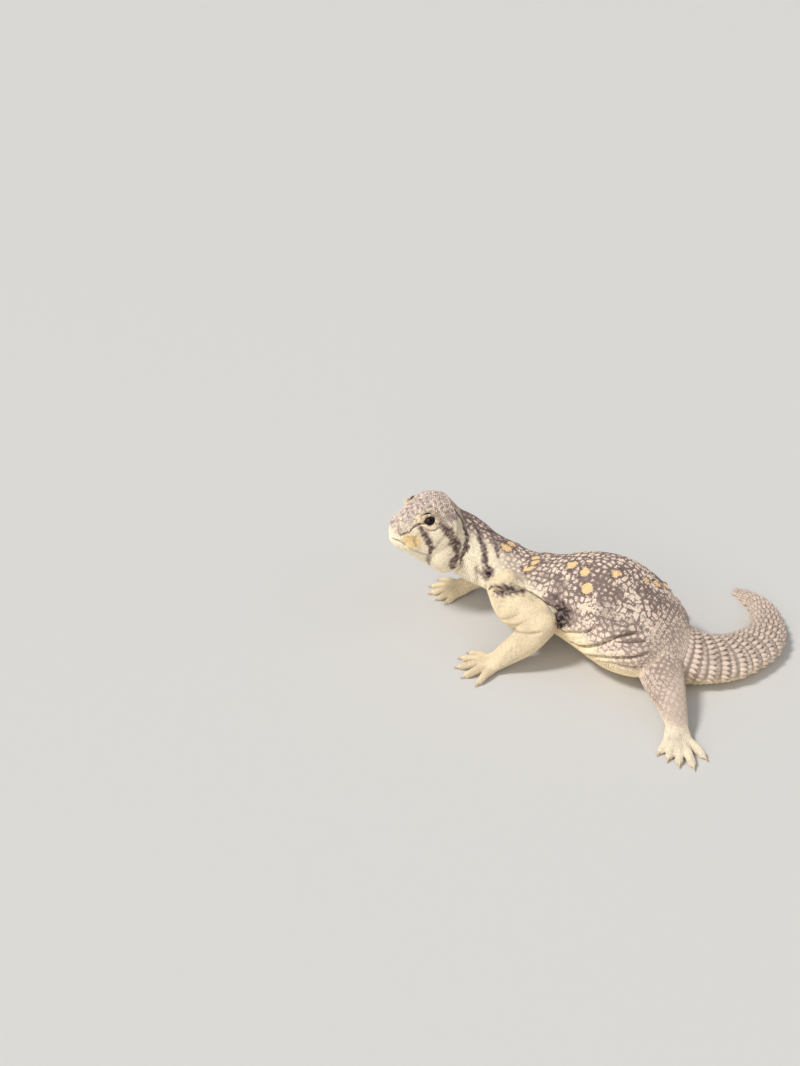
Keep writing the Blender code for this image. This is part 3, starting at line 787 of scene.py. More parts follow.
@dataclass
class Skin:
    """The skin: head, body, tail, legs and feet as one closed surface, with folds, lips and lids."""

    plan: BodyPlan
    spine: Spine
    shop: Workshop
    depth: float = 0.25
    voxel: float = 0.4
    budget: int = 196000
    body_spacing: float = 0.9
    body_sides: int = 72
    head_sides: int = 48
    lid_size: tuple = (3.1, 1.9, 0.8, 1.4)
    calm: float = 0.12
    soft_rounds: int = 24
    fine_by_eye: float = 5.8
    fine_by_crease: float = 1.9
    detail_reach: float = 22.0

    def eye_gap(self, points: Array) -> Array:
        """Measure how far each point is from the middle of the nearer eye."""
        middles = [self.plan.in_head(self.eye_frame(side)[0]) for side in Side]
        return np.min([norm(points - middle) for middle in middles], axis=0)

    def eye_frame(self, side: Side) -> tuple[Array, Array, Array, Array]:
        """Find the middle of one eye and its outward, forward and upward directions in the head's axes."""
        ahead, out, rise = self.plan.gaze
        look = unit(np.array([ahead, out * side.value, rise]))
        along = unit(np.array([1.0, 0.0, 0.0]) - look * look[0])
        forward, out, rise = self.plan.eye_place
        return np.array([forward, out * side.value, rise]), look, along, np.cross(look, along) * -side.value

    def section(self, frames: Frames, sizes: Array, count: int) -> Array:
        """Make rings round a curve.

        Args:
            frames: Frames of the curve.
            sizes: Half width, height above, depth below and squareness at each frame.
            count: Points in each ring.

        Returns:
            Rings by count by three.
        """
        angle = np.linspace(0, math.tau, count, endpoint=False)[None]
        out, rise = section_edge(angle, sizes.T[..., None])
        aside = frames.side[:, None] * out[..., None]
        return frames.centre[:, None] + aside + frames.up[:, None] * rise[..., None]

    def body_rings(self) -> Array:
        """Rings from the nape to the tip of the tail."""
        first, last = self.spine.distance_at(self.plan.nape), self.spine.lengths[-1]
        ts = self.spine.t_at(np.linspace(first - 4.0, last, round((last - first) / self.body_spacing)))
        sizes = spline(self.spine.rows, ts)[:, 3:]
        sizes[:, :3] -= self.depth
        return self.section(frames_of(self.spine.rows, ts), sizes, self.body_sides)

    def head_rings(self) -> Array:
        """Rings from inside the neck to the front of the snout."""
        ts = np.array([self.plan.nape + 0.6, self.plan.nape + 0.2, self.plan.nape])
        back = spline(self.spine.rows, ts)
        back[:, 3:6] -= self.depth
        rings = self.section(frames_of(self.spine.rows, ts), back[:, 3:], self.head_sides)
        table = spline(self.plan.head, np.linspace(0, len(self.plan.head) - 1, 40))
        centre = self.plan.in_head(np.column_stack([table[:, 0], 0 * table[:, 0], table[:, 1]]))
        axes = [np.tile(axis, (len(table), 1)) for axis in self.plan.head_axes()]
        table[:, 2:5] -= self.depth
        return np.concatenate([rings, self.section(Frames(centre, *axes), table[:, 2:], self.head_sides)])

    def limb_rings(self, rows: Rows, sides: int = 36, spacing: float = 0.8) -> Array:
        """Rings of a round-ended tube.

        Args:
            rows: Rows of x, y, z, half width and half height.
            sides: Points in each ring.
            spacing: Distance from ring to ring.

        Returns:
            Rings by sides by three.
        """
        last = len(rows) - 1
        fine = np.linspace(0, last, 60 * last + 1)
        along = lengths_along(spline(rows, fine)[:, :3])
        count = max(3, round(along[-1] / spacing) + 1)
        middle = np.interp(np.linspace(0, along[-1], count), along, fine)
        swing = np.radians([22, 45, 64, 80])
        ts = np.concatenate([np.zeros(4), middle, np.full(4, last)])
        outs = np.concatenate([-np.sin(swing[::-1]), np.zeros(count), np.sin(swing)])
        scales = np.concatenate([np.cos(swing[::-1]), np.ones(count), np.cos(swing)])
        frames = frames_of(rows, ts)
        values = spline(rows, ts)
        small = np.minimum(values[:, 3], values[:, 4])
        centre = frames.centre + frames.heading * (outs * small)[:, None]
        width, height = ((values[:, k] - self.depth) * scales for k in (3, 4))
        sizes = np.column_stack([width, height, height, np.full(len(ts), 2.0)])
        return self.section(Frames(centre, frames.heading, frames.side, frames.up), sizes, sides)

    def lid_rings(self, side: Side) -> Array:
        """Rings of the thick rim round one eye."""
        middle, look, along, up = self.eye_frame(side)
        half_length, half_height, thickness, lift = self.lid_size
        angle = np.linspace(0, math.tau, 56, endpoint=False)[:, None]
        rise = np.sin(angle) * np.abs(np.sin(angle)) ** 0.3
        reach = along * np.cos(angle) * half_length + up * rise * half_height
        centre = middle + look * (lift - 0.35 * np.cos(angle) ** 2) + reach
        turn = np.linspace(0, math.tau, 16, endpoint=False)[None, :, None]
        rings = centre[:, None] + (unit(reach)[:, None] * np.cos(turn) + look * np.sin(turn)) * thickness
        return self.plan.in_head(rings.reshape(-1, 3)).reshape(rings.shape)

    def lump(self, parts: MeshParts, place: Sequence[float], radii: Sequence[float]) -> None:
        """Add an ellipsoid in the head's axes."""
        rows, rounds = 15, 24
        polar, turn = ball_angles(rows, rounds)
        ball = np.hstack([np.sin(polar) * np.cos(turn), np.sin(polar) * np.sin(turn), np.cos(polar)])
        ball = ball * (np.array(radii) - self.depth) + np.array(place)
        parts.add_ball(self.plan.in_head(ball), rounds, rows)

    def digit_rows(self, leg: str) -> tuple[Rows, list]:
        """Find the palm and the digits of one foot.

        Args:
            leg: Name of the leg.

        Returns:
            Rows of the palm, and for each digit its rows, the root of its claw and its direction.
        """
        heading, length, half_width, digits = self.plan.feet[leg]
        x, y, z, wide, high = self.plan.legs[leg]["lower"][-1]
        turn = math.radians(heading)
        forward = np.array([math.cos(turn), math.sin(turn), 0.0])
        across = np.array([-forward[1], forward[0], 0.0])
        start = np.array([x, y, 0.0])
        palm = [
            (*(start + forward * 0.5)[:2], z * 0.85, wide * 0.92, high * 0.9),
            (*(start + forward * length * 0.5)[:2], 2.5, half_width, 2.7),
            (*(start + forward * length * 0.85)[:2], 1.9, half_width * 0.92, 2.2),
        ]
        base, middle, tip = self.plan.digit_radii
        fingers = []
        for turned, reach in digits:
            angle = math.radians(turned)
            out = forward * math.cos(angle) + across * math.sin(angle)
            ahead, aside = length * (0.72 - 0.13 * abs(angle)), half_width * 1.2 * math.sin(angle * 0.9)
            root = start + forward * ahead + across * aside
            rows = [
                (*(root - out * 1.2)[:2], 2.0, base, base),
                (*(root + out * reach * 0.4)[:2], 2.2, middle, middle),
                (*(root + out * reach)[:2], tip * 0.85, tip, tip),
            ]
            claw_root = root + out * (reach + tip * 0.5)
            claw_root[2] = 1.35
            fingers.append((rows, claw_root, out))
        return palm, fingers

    def gather(self) -> MeshParts:
        """Gather every form of flesh as its own closed surface."""
        parts = MeshParts()
        parts.add_rings(self.body_rings())
        parts.add_rings(self.head_rings())
        for side in Side:
            for forward, out, up, *radii in self.plan.lumps:
                self.lump(parts, (forward, out * side.value, up), radii)
            parts.add_rings(self.lid_rings(side), closed=True)
        for leg, rows in self.plan.legs.items():
            parts.add_rings(self.limb_rings(rows["upper"]))
            parts.add_rings(self.limb_rings(rows["lower"]))
            palm, fingers = self.digit_rows(leg)
            parts.add_rings(self.limb_rings(palm))
            for finger, _, _ in fingers:
                parts.add_rings(self.limb_rings(finger, 20, 0.6))
        return parts

    def joint_weight(self, points: Array) -> Array:
        """Find how much each point is softened, most where a leg meets the body or bends."""
        weight = np.full(len(points), self.calm)
        for rows in self.plan.legs.values():
            for place, reach in ((rows["upper"][1], 10.0), (rows["upper"][-1], 5.0), (rows["lower"][-1], 4.0)):
                gap = norm(points - np.array(place[:3]))
                weight = np.maximum(weight, 1 - smooth(reach * 0.6, reach * 1.3, gap))
        away = norm(points - np.array(self.plan.head_centre))
        throat = norm(points - self.plan.in_head((-11.0, 0.0, -6.0)))
        weight = np.maximum(weight, 1 - smooth(8.0, 16.0, throat))
        return np.where(away < 10.0, self.calm, weight)

    def carve(self, points: Array, mesh: Mesh) -> Array:
        """Press folds, the mouth, the nostrils and the ears into the skin.

        Args:
            points: Points of the skin.
            mesh: The skin's mesh, which the folds are laid on.

        Returns:
            Distance to move each point outwards.
        """
        move = 0.05 * tangled_noise(points, 5.0, 61)
        ground = Surface(self.shop, mesh)
        for crease in creases(self.plan):
            gap, share, above = distance_to_path(points, ground.snap(crease.path))
            fade = smooth(0, 0.14, share) * smooth(1, 0.82, share) if crease.fades else 1.0
            across = gap * np.sign(above) / crease.width
            move -= crease.depth * fade * np.exp(-(((across + 0.2) / 0.65) ** 2))
            move += crease.swell * fade * np.exp(-(((across - 1.7) / 1.0) ** 2))
            move += 0.4 * crease.swell * fade * np.exp(-(((across + 2.0) / 1.0) ** 2))
        return move

    def refine(self, mesh: Mesh) -> None:
        """Divide the faces round the eyes, nostrils, ears and mouth, where the forms are fine."""
        points = self.shop.to_plan(mesh)
        near = self.eye_gap(points) < self.fine_by_eye
        ground = Surface(self.shop, mesh)
        for crease in creases(self.plan):
            if crease.fine:
                near |= distance_to_path(points, ground.snap(crease.path))[0] < self.fine_by_crease
        shape = bmesh.new()
        shape.from_mesh(mesh)
        edges = [edge for edge in shape.edges if near[edge.verts[0].index] and near[edge.verts[1].index]]
        bmesh.ops.subdivide_edges(shape, edges=edges, cuts=1, use_grid_fill=True, smooth=0.6)
        shape.to_mesh(mesh)
        shape.free()

    def build(self) -> Object:
        """Build the skin's object."""
        skin = self.shop.make("skin", self.gather(), tidy=False)
        remesh = skin.modifiers.new("Blend", "REMESH")
        remesh.mode = "VOXEL"
        remesh.voxel_size = self.voxel * MM
        apply_modifiers(skin)
        group = skin.vertex_groups.new(name="soft")
        weight = np.round(self.joint_weight(self.shop.to_plan(skin.data)), 1)
        for level in np.unique(weight):
            group.add(np.flatnonzero(weight == level).tolist(), float(level), "REPLACE")
        soften = skin.modifiers.new("Soften", "SMOOTH")
        soften.factor, soften.iterations, soften.vertex_group = 0.5, self.soft_rounds, "soft"
        apply_modifiers(skin)
        self.refine(skin.data)
        points = self.shop.to_plan(skin.data)
        carved = points + normals_of(skin.data) * self.carve(points, skin.data)[:, None]
        self.shop.settle(skin.data, carved)
        self.thin_out(skin)
        skin.data.shade_smooth()
        return skin

    def thin_out(self, skin: Object) -> None:
        """Bring the skin under its budget of triangles, and spare the head."""
        total = triangles(skin.data)
        LOG.info("skin before thinning: %d triangles", total)
        if total > self.budget:
            group = skin.vertex_groups.new(name="detail")
            away = norm(self.shop.to_plan(skin.data) - np.array(self.plan.head_centre))
            group.add(np.flatnonzero(away > self.detail_reach).tolist(), 1.0, "REPLACE")
            thin = skin.modifiers.new("Thin", "DECIMATE")
            thin.ratio, thin.vertex_group = self.budget / total, "detail"
            apply_modifiers(skin)
        skin.vertex_groups.clear()


@dataclass(frozen=True)
class Bar:
    """A dark bar along a path, widest in its middle."""

    path: Rows
    width: float
    strength: float


@dataclass(frozen=True)
class Regions:
    """Where points lie on the animal: their place on the spine and in the head, and shares of each part."""

    t: Array
    angle: Array
    head: Array
    on_head: Array
    limb: Array
    hind: Array
    on_tail: Array
    back: Array
    low_down: Array


# Bars of the head's left side: forward, right and up in the head.
HEAD_BARS = (
    Bar((
        (6.3, -8.6, 2.2), (5.2, -9.7, 0.1), (3.5, -10.5, -2.2), (2.0, -10.8, -4.7), (1.7, -10.2, -7.7),
    ), width=1.35, strength=0.84),
    Bar((
        (2.0, -10.8, -4.7), (1.7, -10.2, -7.7), (1.3, -8.6, -11.3), (-0.9, -6.7, -14.7),
    ), width=0.8, strength=0.6),
    Bar((
        (-0.7, -11.1, 4.2), (-2.7, -11.9, 2.8), (-5.0, -12.4, -0.2), (-7.9, -12.1, -4.0), (-8.6, -12.8, -7.2),
        (-7.8, -12.9, -10.6), (-7.7, -12.3, -13.6),
    ), width=1.95, strength=0.84),
    Bar((
        (-7.6, -7.5, 8.4), (-12.0, -5.5, 3.6), (-13.0, -7.5, 0.6), (-13.1, -10.5, -2.2), (-12.1, -12.3, -5.1),
        (-11.1, -12.5, -8.9), (-11.3, -11.7, -12.4),
    ), width=0.95, strength=0.84),
    Bar(((5.6, -9.4, 1.6), (7.4, -8.6, -0.2), (8.6, -8.2, -2.2), (7.6, -8.8, -4.6)), width=0.5, strength=0.4),
    Bar(((12.4, -2.4, 0.6), (12.8, -3.8, -0.8), (12.6, -4.8, -1.9)), width=0.55, strength=0.55),
    Bar(((-1.4, -9.6, 6.8), (-4.2, -9.4, 6.8), (-6.8, -9.0, 5.8)), width=0.9, strength=0.5),
    # Painted shade above the eye, under the brow.
    Bar(((5.2, -6.4, 6.6), (2.6, -7.2, 7.7), (0.3, -8.6, 7.4), (-1.2, -10.2, 6.0)), width=1.2, strength=0.5),
)
# Bars of the neck's left side and over the shoulder, in the plan; the last is partly painted shadow under the
# shoulder fold.
NECK_BARS = (
    Bar((
        (-61.4, 2.8, 38.1), (-58.7, 1.3, 36.9), (-55.8, -0.8, 35.2), (-52.9, -3.4, 33.2), (-50.5, -5.7, 31.1),
        (-48.4, -7.9, 28.4), (-46.4, -9.3, 25.3),
    ), width=1.3, strength=0.88),
    Bar((
        (-57.2, 6.8, 34.7), (-53.1, 4.4, 33.5), (-49.4, 1.2, 32.1), (-46.4, -2.3, 30.7), (-44.6, -4.8, 29.3),
    ), width=0.9, strength=0.8),
    Bar(((-48.6, -9.2, 26.0), (-46.4, -9.6, 22.6), (-44.6, -9.4, 20.0)), width=1.5, strength=0.6),
    # Painted shadow under the overhanging shoulder fold, over the purple-brown skin there.
    Bar((
        (-39.8, -16.6, 22.6), (-36.6, -17.5, 23.8), (-33.0, -17.8, 24.6), (-29.6, -17.0, 24.6),
        (-26.2, -15.6, 23.8),
    ), width=2.2, strength=0.9),
)


@dataclass
class Markings:
    """The colours' pattern: a net of brown round pale spots, yellow eyespots, bars and a pale underside; also
    painted shade in folds, armpits and over the eyes.
    """

    plan: BodyPlan
    spine: Spine
    ground: Surface
    cells: Rows = ((0.0, 2.0), (30.0, 2.6), (72.0, 2.6), (95.0, 2.1), (120.0, 1.8), (260.0, 2.0))
    thigh_cell: float = 2.0
    line: float = 0.42
    seed: int = 11
    lip_patch: tuple = ((8.8, -7.8, -3.2), (4.4, 3.2, 2.8))
    eye_patch: tuple = (7.0, 4.6, 4.4)
    strokes: list[Bar] = field(init=False)
    tree: KDTree = field(init=False)
    spots: Array = field(init=False)
    washes: Array = field(init=False)
    net_floor: Rows = (
        (-58.0, 35.0), (-50.0, 31.5), (-44.0, 29.0), (-34.0, 27.0), (-24.0, 26.0), (-17.0, 21.0), (-8.0, 17.5),
        (4.0, 16.0), (16.0, 12.0), (30.0, 7.0), (40.0, 4.0),
    )
    eyespots: Rows = (
        (-44.2, 1.8, 30.3, 2.1), (-44.6, 6.6, 29.7, 1.9), (-31.4, -3.8, 28.6, 2.0), (-31.2, -0.2, 29.0, 1.9),
        (-32.4, 3.4, 28.6, 1.5), (-14.0, -5.1, 35.7, 1.9), (-7.5, -8.2, 36.4, 1.8), (-4.0, -13.6, 33.2, 2.3),
        (3.1, -4.9, 37.7, 1.9), (12.1, 2.7, 33.2, 1.8), (15.0, 7.4, 30.8, 1.6), (-16.0, 7.0, 33.0, 1.8),
        (-5.0, 13.0, 32.5, 2.0), (6.0, 12.0, 33.5, 1.9), (16.0, 13.5, 26.0, 1.7), (-30.0, 9.5, 27.0, 1.8),
    )
    # Dark blotches: place, radius and strength. Those behind the elbow are partly painted shade of the armpit.
    blotches: Rows = (
        (-45.4, -9.5, 24.8, 2.5, 0.98), (-47.1, -9.4, 22.8, 2.6, 0.7), (-50.7, -9.2, 23.8, 2.2, 0.5),
        (-32.6, -9.4, 26.2, 2.6, 0.45), (-22.6, -8.6, 30.4, 2.8, 0.5), (-14.7, -13.0, 29.6, 3.4, 0.55),
        (-15.2, -14.8, 26.1, 3.2, 0.8), (-12.0, -16.4, 23.8, 3.6, 0.95), (-9.6, -17.4, 21.2, 3.6, 1.0),
        (-11.9, -16.9, 17.9, 3.3, 1.0), (-6.0, -18.4, 24.6, 2.6, 0.4), (3.4, -16.0, 31.4, 3.0, 0.35),
        (5.9, -17.8, 29.1, 3.6, 0.42), (8.7, -19.5, 26.7, 3.2, 0.42), (14.3, -17.3, 27.0, 3.0, 0.3),
    )
    pale_patches: Rows = (
        (-20.9, -12.9, 27.0, 4.0), (-1.4, -17.7, 28.4, 4.6), (1.8, -20.0, 24.0, 3.6), (12.5, -10.0, 31.4, 4.6),
        (22.6, -13.0, 24.4, 5.6), (4.0, -22.2, 13.4, 4.6), (12.0, -23.2, 17.6, 4.0),
    )

    def __post_init__(self) -> None:
        """Lay the bars, blotches and the creases' painted shade on the skin, on both sides of the animal."""
        marks = [replace(bar, path=path) for bar in HEAD_BARS for path in both_sides(self.plan, bar.path)]
        for bar in NECK_BARS:
            far = mirror_in_body(self.plan, bar.path[1 + len(bar.path) // 4 :])
            marks += [bar, replace(bar, path=far)]
        # Each crease's dark share is laid as a stroke of painted shade along its groove.
        folds = [crease for crease in creases(self.plan) if crease.dark > 0]
        marks += [Bar(crease.path, 0.5 * crease.width, crease.dark) for crease in folds]
        self.strokes = [replace(bar, path=self.ground.snap(bar.path)) for bar in marks]
        self.tree = tree_of(self.net_cells())
        self.spots, self.washes = self.both(self.blotches), self.both(self.pale_patches)

    def both(self, places: Rows) -> Array:
        """Add the mirror image of each place to those of one side of the body."""
        table = np.array(places)
        flipped = mirror_in_body(self.plan, table[:, :3])
        return np.vstack([table, np.column_stack([flipped, table[:, 3:]])])

    def thigh_cells(self) -> Array:
        """Scatter the net's cells over the hind legs, one in each cube of a grid that holds skin."""
        points = self.ground.points
        _, _, reach = self.spine.nearest(points)
        points = points[(reach > 1.08) & (points[:, 0] > 4.0) & (points[:, 2] > 2.5)]
        cubes = np.floor(points / self.thigh_cell)
        _, cube, count = np.unique(cubes, axis=0, return_inverse=True, return_counts=True)
        total = np.zeros((len(count), 3))
        np.add.at(total, cube.ravel(), points)
        return (total / count[:, None])[count > 0.4 * count.mean()]

    def net_cells(self) -> Array:
        """Scatter the net's cells in staggered rows across the body and the tail, and over the thighs."""
        random = np.random.default_rng(self.seed)
        seeds, row = [], 0
        distance, end = float(self.spine.distance_at(0.6)), self.spine.lengths[-1]
        while distance < end:
            cell = np.interp(distance, *np.array(self.cells).T)
            place = self.spine.t_at(distance)
            half_width = spline(self.spine.rows, place)[0, 3]
            count = max(6, round(math.tau * half_width / cell))
            turns = (np.arange(count) + 0.5 * (row % 2) + random.uniform(-0.34, 0.34, count)) * math.tau / count
            jitter = self.spine.t_at(distance + random.uniform(-0.36, 0.36, count) * cell)
            seeds.append(self.spine.surface(jitter, turns)[0])
            distance, row = distance + cell * 0.92, row + 1
        return np.vstack([*seeds, self.thigh_cells()])

    def net(self, points: Array, line: Array) -> Array:
        """Draw the net of lines between pale spots.

        Args:
            points: Points of the skin.
            line: Half width of the lines at each point.

        Returns:
            How dark each is, from 0 to 1.
        """
        gaps = np.array([[found[2] for found in self.tree.find_n(point, 2)] for point in points])
        edge = (gaps[:, 1] - gaps[:, 0]) / 2
        width = line * (1 + 0.4 * tangled_noise(points, 7.0, 5) + 0.25 * tangled_noise(points, 1.6, 6))
        return smooth(1.5, 0.7, edge / np.maximum(width, 0.08))

    def regions(self, points: Array) -> Regions:
        """Find which part of the animal each point is on."""
        t, angle, reach = self.spine.nearest(points)
        head = self.plan.to_head(points)
        on_head = smooth(-15.5, -11.0, head[:, 0]) * smooth(26.0, 22.0, norm(head))
        limb = smooth(1.04, 1.16, reach) * (1 - on_head) * smooth(11.2, 10.6, t)
        hind = limb * smooth(4.0, 12.0, points[:, 0])
        low, high = np.array(self.net_floor).T
        floor = np.interp(points[:, 0], low, high) + 1.6 * tangled_noise(points, 6.0, 3)
        on_tail = smooth(self.plan.vent - 0.5, self.plan.vent + 0.1, t)
        far = smooth(0.0, 0.3, np.sin(angle)) * smooth(-0.2, 0.2, np.cos(angle))
        back = np.maximum(smooth(-2.2, 2.2, points[:, 2] - floor), far)
        back = np.maximum(back, on_tail * smooth(-0.5, 0.1, np.sin(angle)))
        back = np.maximum(back * (1 - limb), hind * smooth(3.0, 8.0, points[:, 2]))
        low_down = smooth(30.0, 16.0, points[:, 2]) * smooth(-16.0, -8.0, points[:, 0]) * (1 - limb)
        return Regions(t, angle, head, on_head, limb, hind, on_tail, back, low_down)

    def net_tone(self, points: Array, at: Regions, wobble: Array) -> Array:
        """Find how dark the net makes each point, with the even tone of the tail and the mottled legs.

        Args:
            points: Points of the skin.
            at: Where they lie.
            wobble: Factor on every mark's size, which makes its edge uneven.

        Returns:
            The tone, from 0 to 1.
        """
        line = self.line * (1 - 0.5 * at.low_down) * (1 - 0.25 * at.limb)
        for x, y, z, radius in self.washes:
            gap = norm(points - (x, y, z)) / (radius * wobble)
            line *= 1 - 0.7 * smooth(1.2, 0.5, gap)
        strength = (0.74 - 0.24 * at.low_down) * (1 - 0.2 * at.limb) * (1 - 0.4 * at.on_tail)
        dark = self.net(points, line) * at.back * (1 - at.on_head) * strength
        dark = np.maximum(dark, 0.36 * at.on_tail * smooth(-0.2, 0.5, np.sin(at.angle)))
        dark = np.maximum(dark, at.back * 0.22 * smooth(6.0, 30.0, points[:, 0]))
        mottle = smooth(-0.6, 0.9, tangled_noise(points, 3.2, 41))
        mottle *= 0.7 + 0.3 * tangled_noise(points, 0.8, 40)
        return np.maximum(dark, at.limb * (0.06 + 0.16 * mottle))

    def draw_marks(self, points: Array, dark: Array, wobble: Array) -> tuple[Array, Array]:
        """Draw the bars, blotches and eyespots over the net, with the painted shade of the creases and armpits.

        Args:
            points: Points of the skin.
            dark: Tone of the net at each point.
            wobble: Factor on every mark's size, which makes its edge uneven.

        Returns:
            How dark and how golden each point is, from 0 to 1.
        """
        patchy = np.clip(0.92 + 0.3 * tangled_noise(points, 0.8, 35), 0.5, 1.05)
        for bar in self.strokes:
            gap, share, _ = distance_to_path(points, bar.path)
            taper = bar.width * (0.6 + 0.4 * np.sin(math.pi * np.clip(share, 0.05, 0.95)))
            dark = np.maximum(dark, bar.strength * patchy * smooth(1.7, 0.5, gap / (taper * wobble)))
        for x, y, z, radius, strength in self.spots:
            gap = norm(points - (x, y, z)) / (radius * wobble)
            dark = np.maximum(dark, strength * patchy * smooth(1.35, 0.5, gap))
        gold = np.zeros(len(points))
        for x, y, z, radius in self.eyespots:
            gap = norm(points - (x, y, z)) * (0.4 + 0.6 * wobble)
            disc = smooth(radius + 0.35, radius - 0.25, gap)
            ring = smooth(radius + 1.4, radius + 0.8, gap) * smooth(radius - 0.1, radius + 0.4, gap)
            dark = np.maximum(dark * (1 - disc), 0.8 * ring)
            gold = np.maximum(gold, disc)
        return dark, gold

    def head_tints(self, points: Array, at: Regions) -> tuple[Array, Array, Array]:
        """Tint the head: a lilac grey crown and snout, and yellow lips and rings round the eyes.

        Args:
            points: Points of the skin.
            at: Where they lie.

        Returns:
            How dark, how lilac and how yellow each point is, from 0 to 1.
        """
        head = at.head
        crown = smooth(1.5, 6.5, head[:, 2] + 0.2 * head[:, 0]) * at.on_head
        snout = smooth(8.5, 12.0, head[:, 0]) * smooth(-3.6, -0.6, head[:, 2]) * at.on_head
        lilac = np.clip(np.maximum(crown, 0.75 * snout), 0, 1)
        speckle = smooth(0.1, 0.9, tangled_noise(points, 0.8, 31)) * lilac * 0.55
        lilac *= 1 - 0.7 * smooth(0.2, 0.8, tangled_noise(points, 0.8, 33))
        dark = np.maximum(speckle, 0.2 * smooth(0.2, 0.9, tangled_noise(points, 2.4, 32)) * crown)
        yellow = np.zeros(len(points))
        ahead, out, rise = self.plan.eye_place
        for flip in (1, -1):
            side = head * (1, flip, 1)
            gap = norm((side - self.lip_patch[0]) / self.lip_patch[1])
            yellow = np.maximum(yellow, smooth(1.25, 0.6, gap))
            gap = norm((side - (ahead + 1.0, -out - 1.0, rise)) / self.eye_patch)
            yellow = np.maximum(yellow, 0.4 * smooth(1.2, 0.5, gap))
            lilac *= 1 - 0.7 * smooth(1.3, 0.6, gap)
        return dark, lilac, yellow

    def masks(self, points: Array) -> dict[str, Array]:
        """Work out the pattern and the painted shade.

        Args:
            points: Points of the skin or roots of scales.

        Returns:
            The share of each colour at each point, by name.
        """
        at = self.regions(points)
        wobble = 1 + 0.28 * tangled_noise(points, 2.2, 21) + 0.28 * tangled_noise(points, 0.9, 22)
        wobble = np.clip(wobble, 0.5, 1.7)
        dark, gold = self.draw_marks(points, self.net_tone(points, at, wobble), wobble)
        speckle, lilac, yellow = self.head_tints(points, at)
        off_head = 1 - at.on_head
        under = smooth(0.25, -0.6, np.sin(at.angle)) * off_head * (1 - at.limb) * smooth(3.0, 4.5, at.t)
        yellow = np.maximum(yellow, np.maximum(0.6 * under, 0.35 * (at.limb - at.hind)))
        dark = np.maximum(dark, speckle)
        return {"dark": dark, "gold": gold, "back": at.back * off_head, "lilac": lilac, "yellow": yellow}


@dataclass(frozen=True)
class Hide:
    """Reptile skin of keratin over flesh: matt, faintly waxy, with a little light passing through it."""

    cream: str = "#F4E5C9"
    ground: str = "#F1DBC6"
    gold: str = "#F5CF98"
    lilac: str = "#CFBAAE"
    yellow: str = "#EFD097"
    net: str = "#75605A"
    deep: str = "#2C1D1A"
    # Below one, shade darkens the whole hide: painted shade for the skin in the gaps between the scales.
    shade: float = 1.0
    cloud_size: float = 4.0
    grain_size: float = 0.22
    grain_depth: float = 0.05

    def build(self, name: str) -> Material:
        """Build the material.

        Args:
            name: Name of the material.

        Returns:
            The material, which mixes its colours by the marks on the mesh.
        """
        # Dry keratin has no sharp highlight, and light that enters the flesh comes back warm and soft.
        values = {"Roughness": 0.58, "IOR": 1.45, "Subsurface Weight": 0.06, "Subsurface Scale": 0.8 * MM}
        material, shader = new_material(name, {**values, "Subsurface Radius": (0.9, 0.5, 0.3)})
        tree = material.node_tree
        colour: Any = linear(self.cream)
        layers = (
            ("back", self.ground, 0.0, 1.0),
            ("lilac", self.lilac, 0.0, 1.0),
            ("yellow", self.yellow, 0.0, 1.0),
            ("gold", self.gold, 0.0, 1.0),
            ("dark", self.net, 0.0, 0.8),
            ("dark", self.deep, 0.78, 1.0),
        )
        for mark, code, start, full in layers:
            share = add_node(tree, "ShaderNodeAttribute", attribute_name=mark).outputs["Fac"]
            share = add_node(tree, "ShaderNodeMapRange", {0: share, 1: start, 2: full}).outputs[0]
            feeds = {0: share, 6: colour, 7: linear(code)}
            colour = add_node(tree, "ShaderNodeMix", feeds, data_type="RGBA").outputs[2]
        place = add_node(tree, "ShaderNodeTexCoord").outputs["Object"]
        feeds = {"Vector": place, "Scale": 1 / (self.cloud_size * MM), "Detail": 3.0}
        cloud = add_node(tree, "ShaderNodeTexNoise", feeds).outputs["Fac"]
        tone = add_node(tree, "ShaderNodeAttribute", attribute_name="tone").outputs["Fac"]
        mixed = add_node(tree, "ShaderNodeMath", {0: tone, 1: cloud}, operation="ADD").outputs[0]
        feeds = {0: mixed, 1: 0.2, 2: 1.8, 3: 0.80 * self.shade, 4: 1.16 * self.shade}
        value = add_node(tree, "ShaderNodeMapRange", feeds).outputs[0]
        shaded = add_node(tree, "ShaderNodeHueSaturation", {"Color": colour, "Value": value})
        tree.links.new(shaded.outputs[0], shader.inputs["Base Color"])
        feeds = {"Vector": place, "Scale": 1 / (self.grain_size * MM), "Detail": 2.0}
        grain = add_node(tree, "ShaderNodeTexNoise", feeds).outputs["Fac"]
        feeds = {"Strength": 0.25, "Distance": self.grain_depth * MM, "Height": grain}
        tree.links.new(add_node(tree, "ShaderNodeBump", feeds).outputs[0], shader.inputs["Normal"])
        return material


@dataclass(frozen=True)
class Horn:
    """Claw horn of bare keratin: pale and a little glossy, darker towards the tip."""

    root: str = "#E6CFA6"
    tip: str = "#8A6B4A"

    def build(self) -> Material:
        """Build the material, which reads how near the tip a point is."""
        # Horn that the ground has rubbed smooth shows a soft streak of light along each claw.
        material, shader = new_material("claw_horn", {"Roughness": 0.35})
        tree = material.node_tree
        share = add_node(tree, "ShaderNodeAttribute", attribute_name="tip").outputs["Fac"]
        feeds = {0: share, 6: linear(self.root), 7: linear(self.tip)}
        colour = add_node(tree, "ShaderNodeMix", feeds, data_type="RGBA").outputs[2]
        tree.links.new(colour, shader.inputs["Base Color"])
        return material


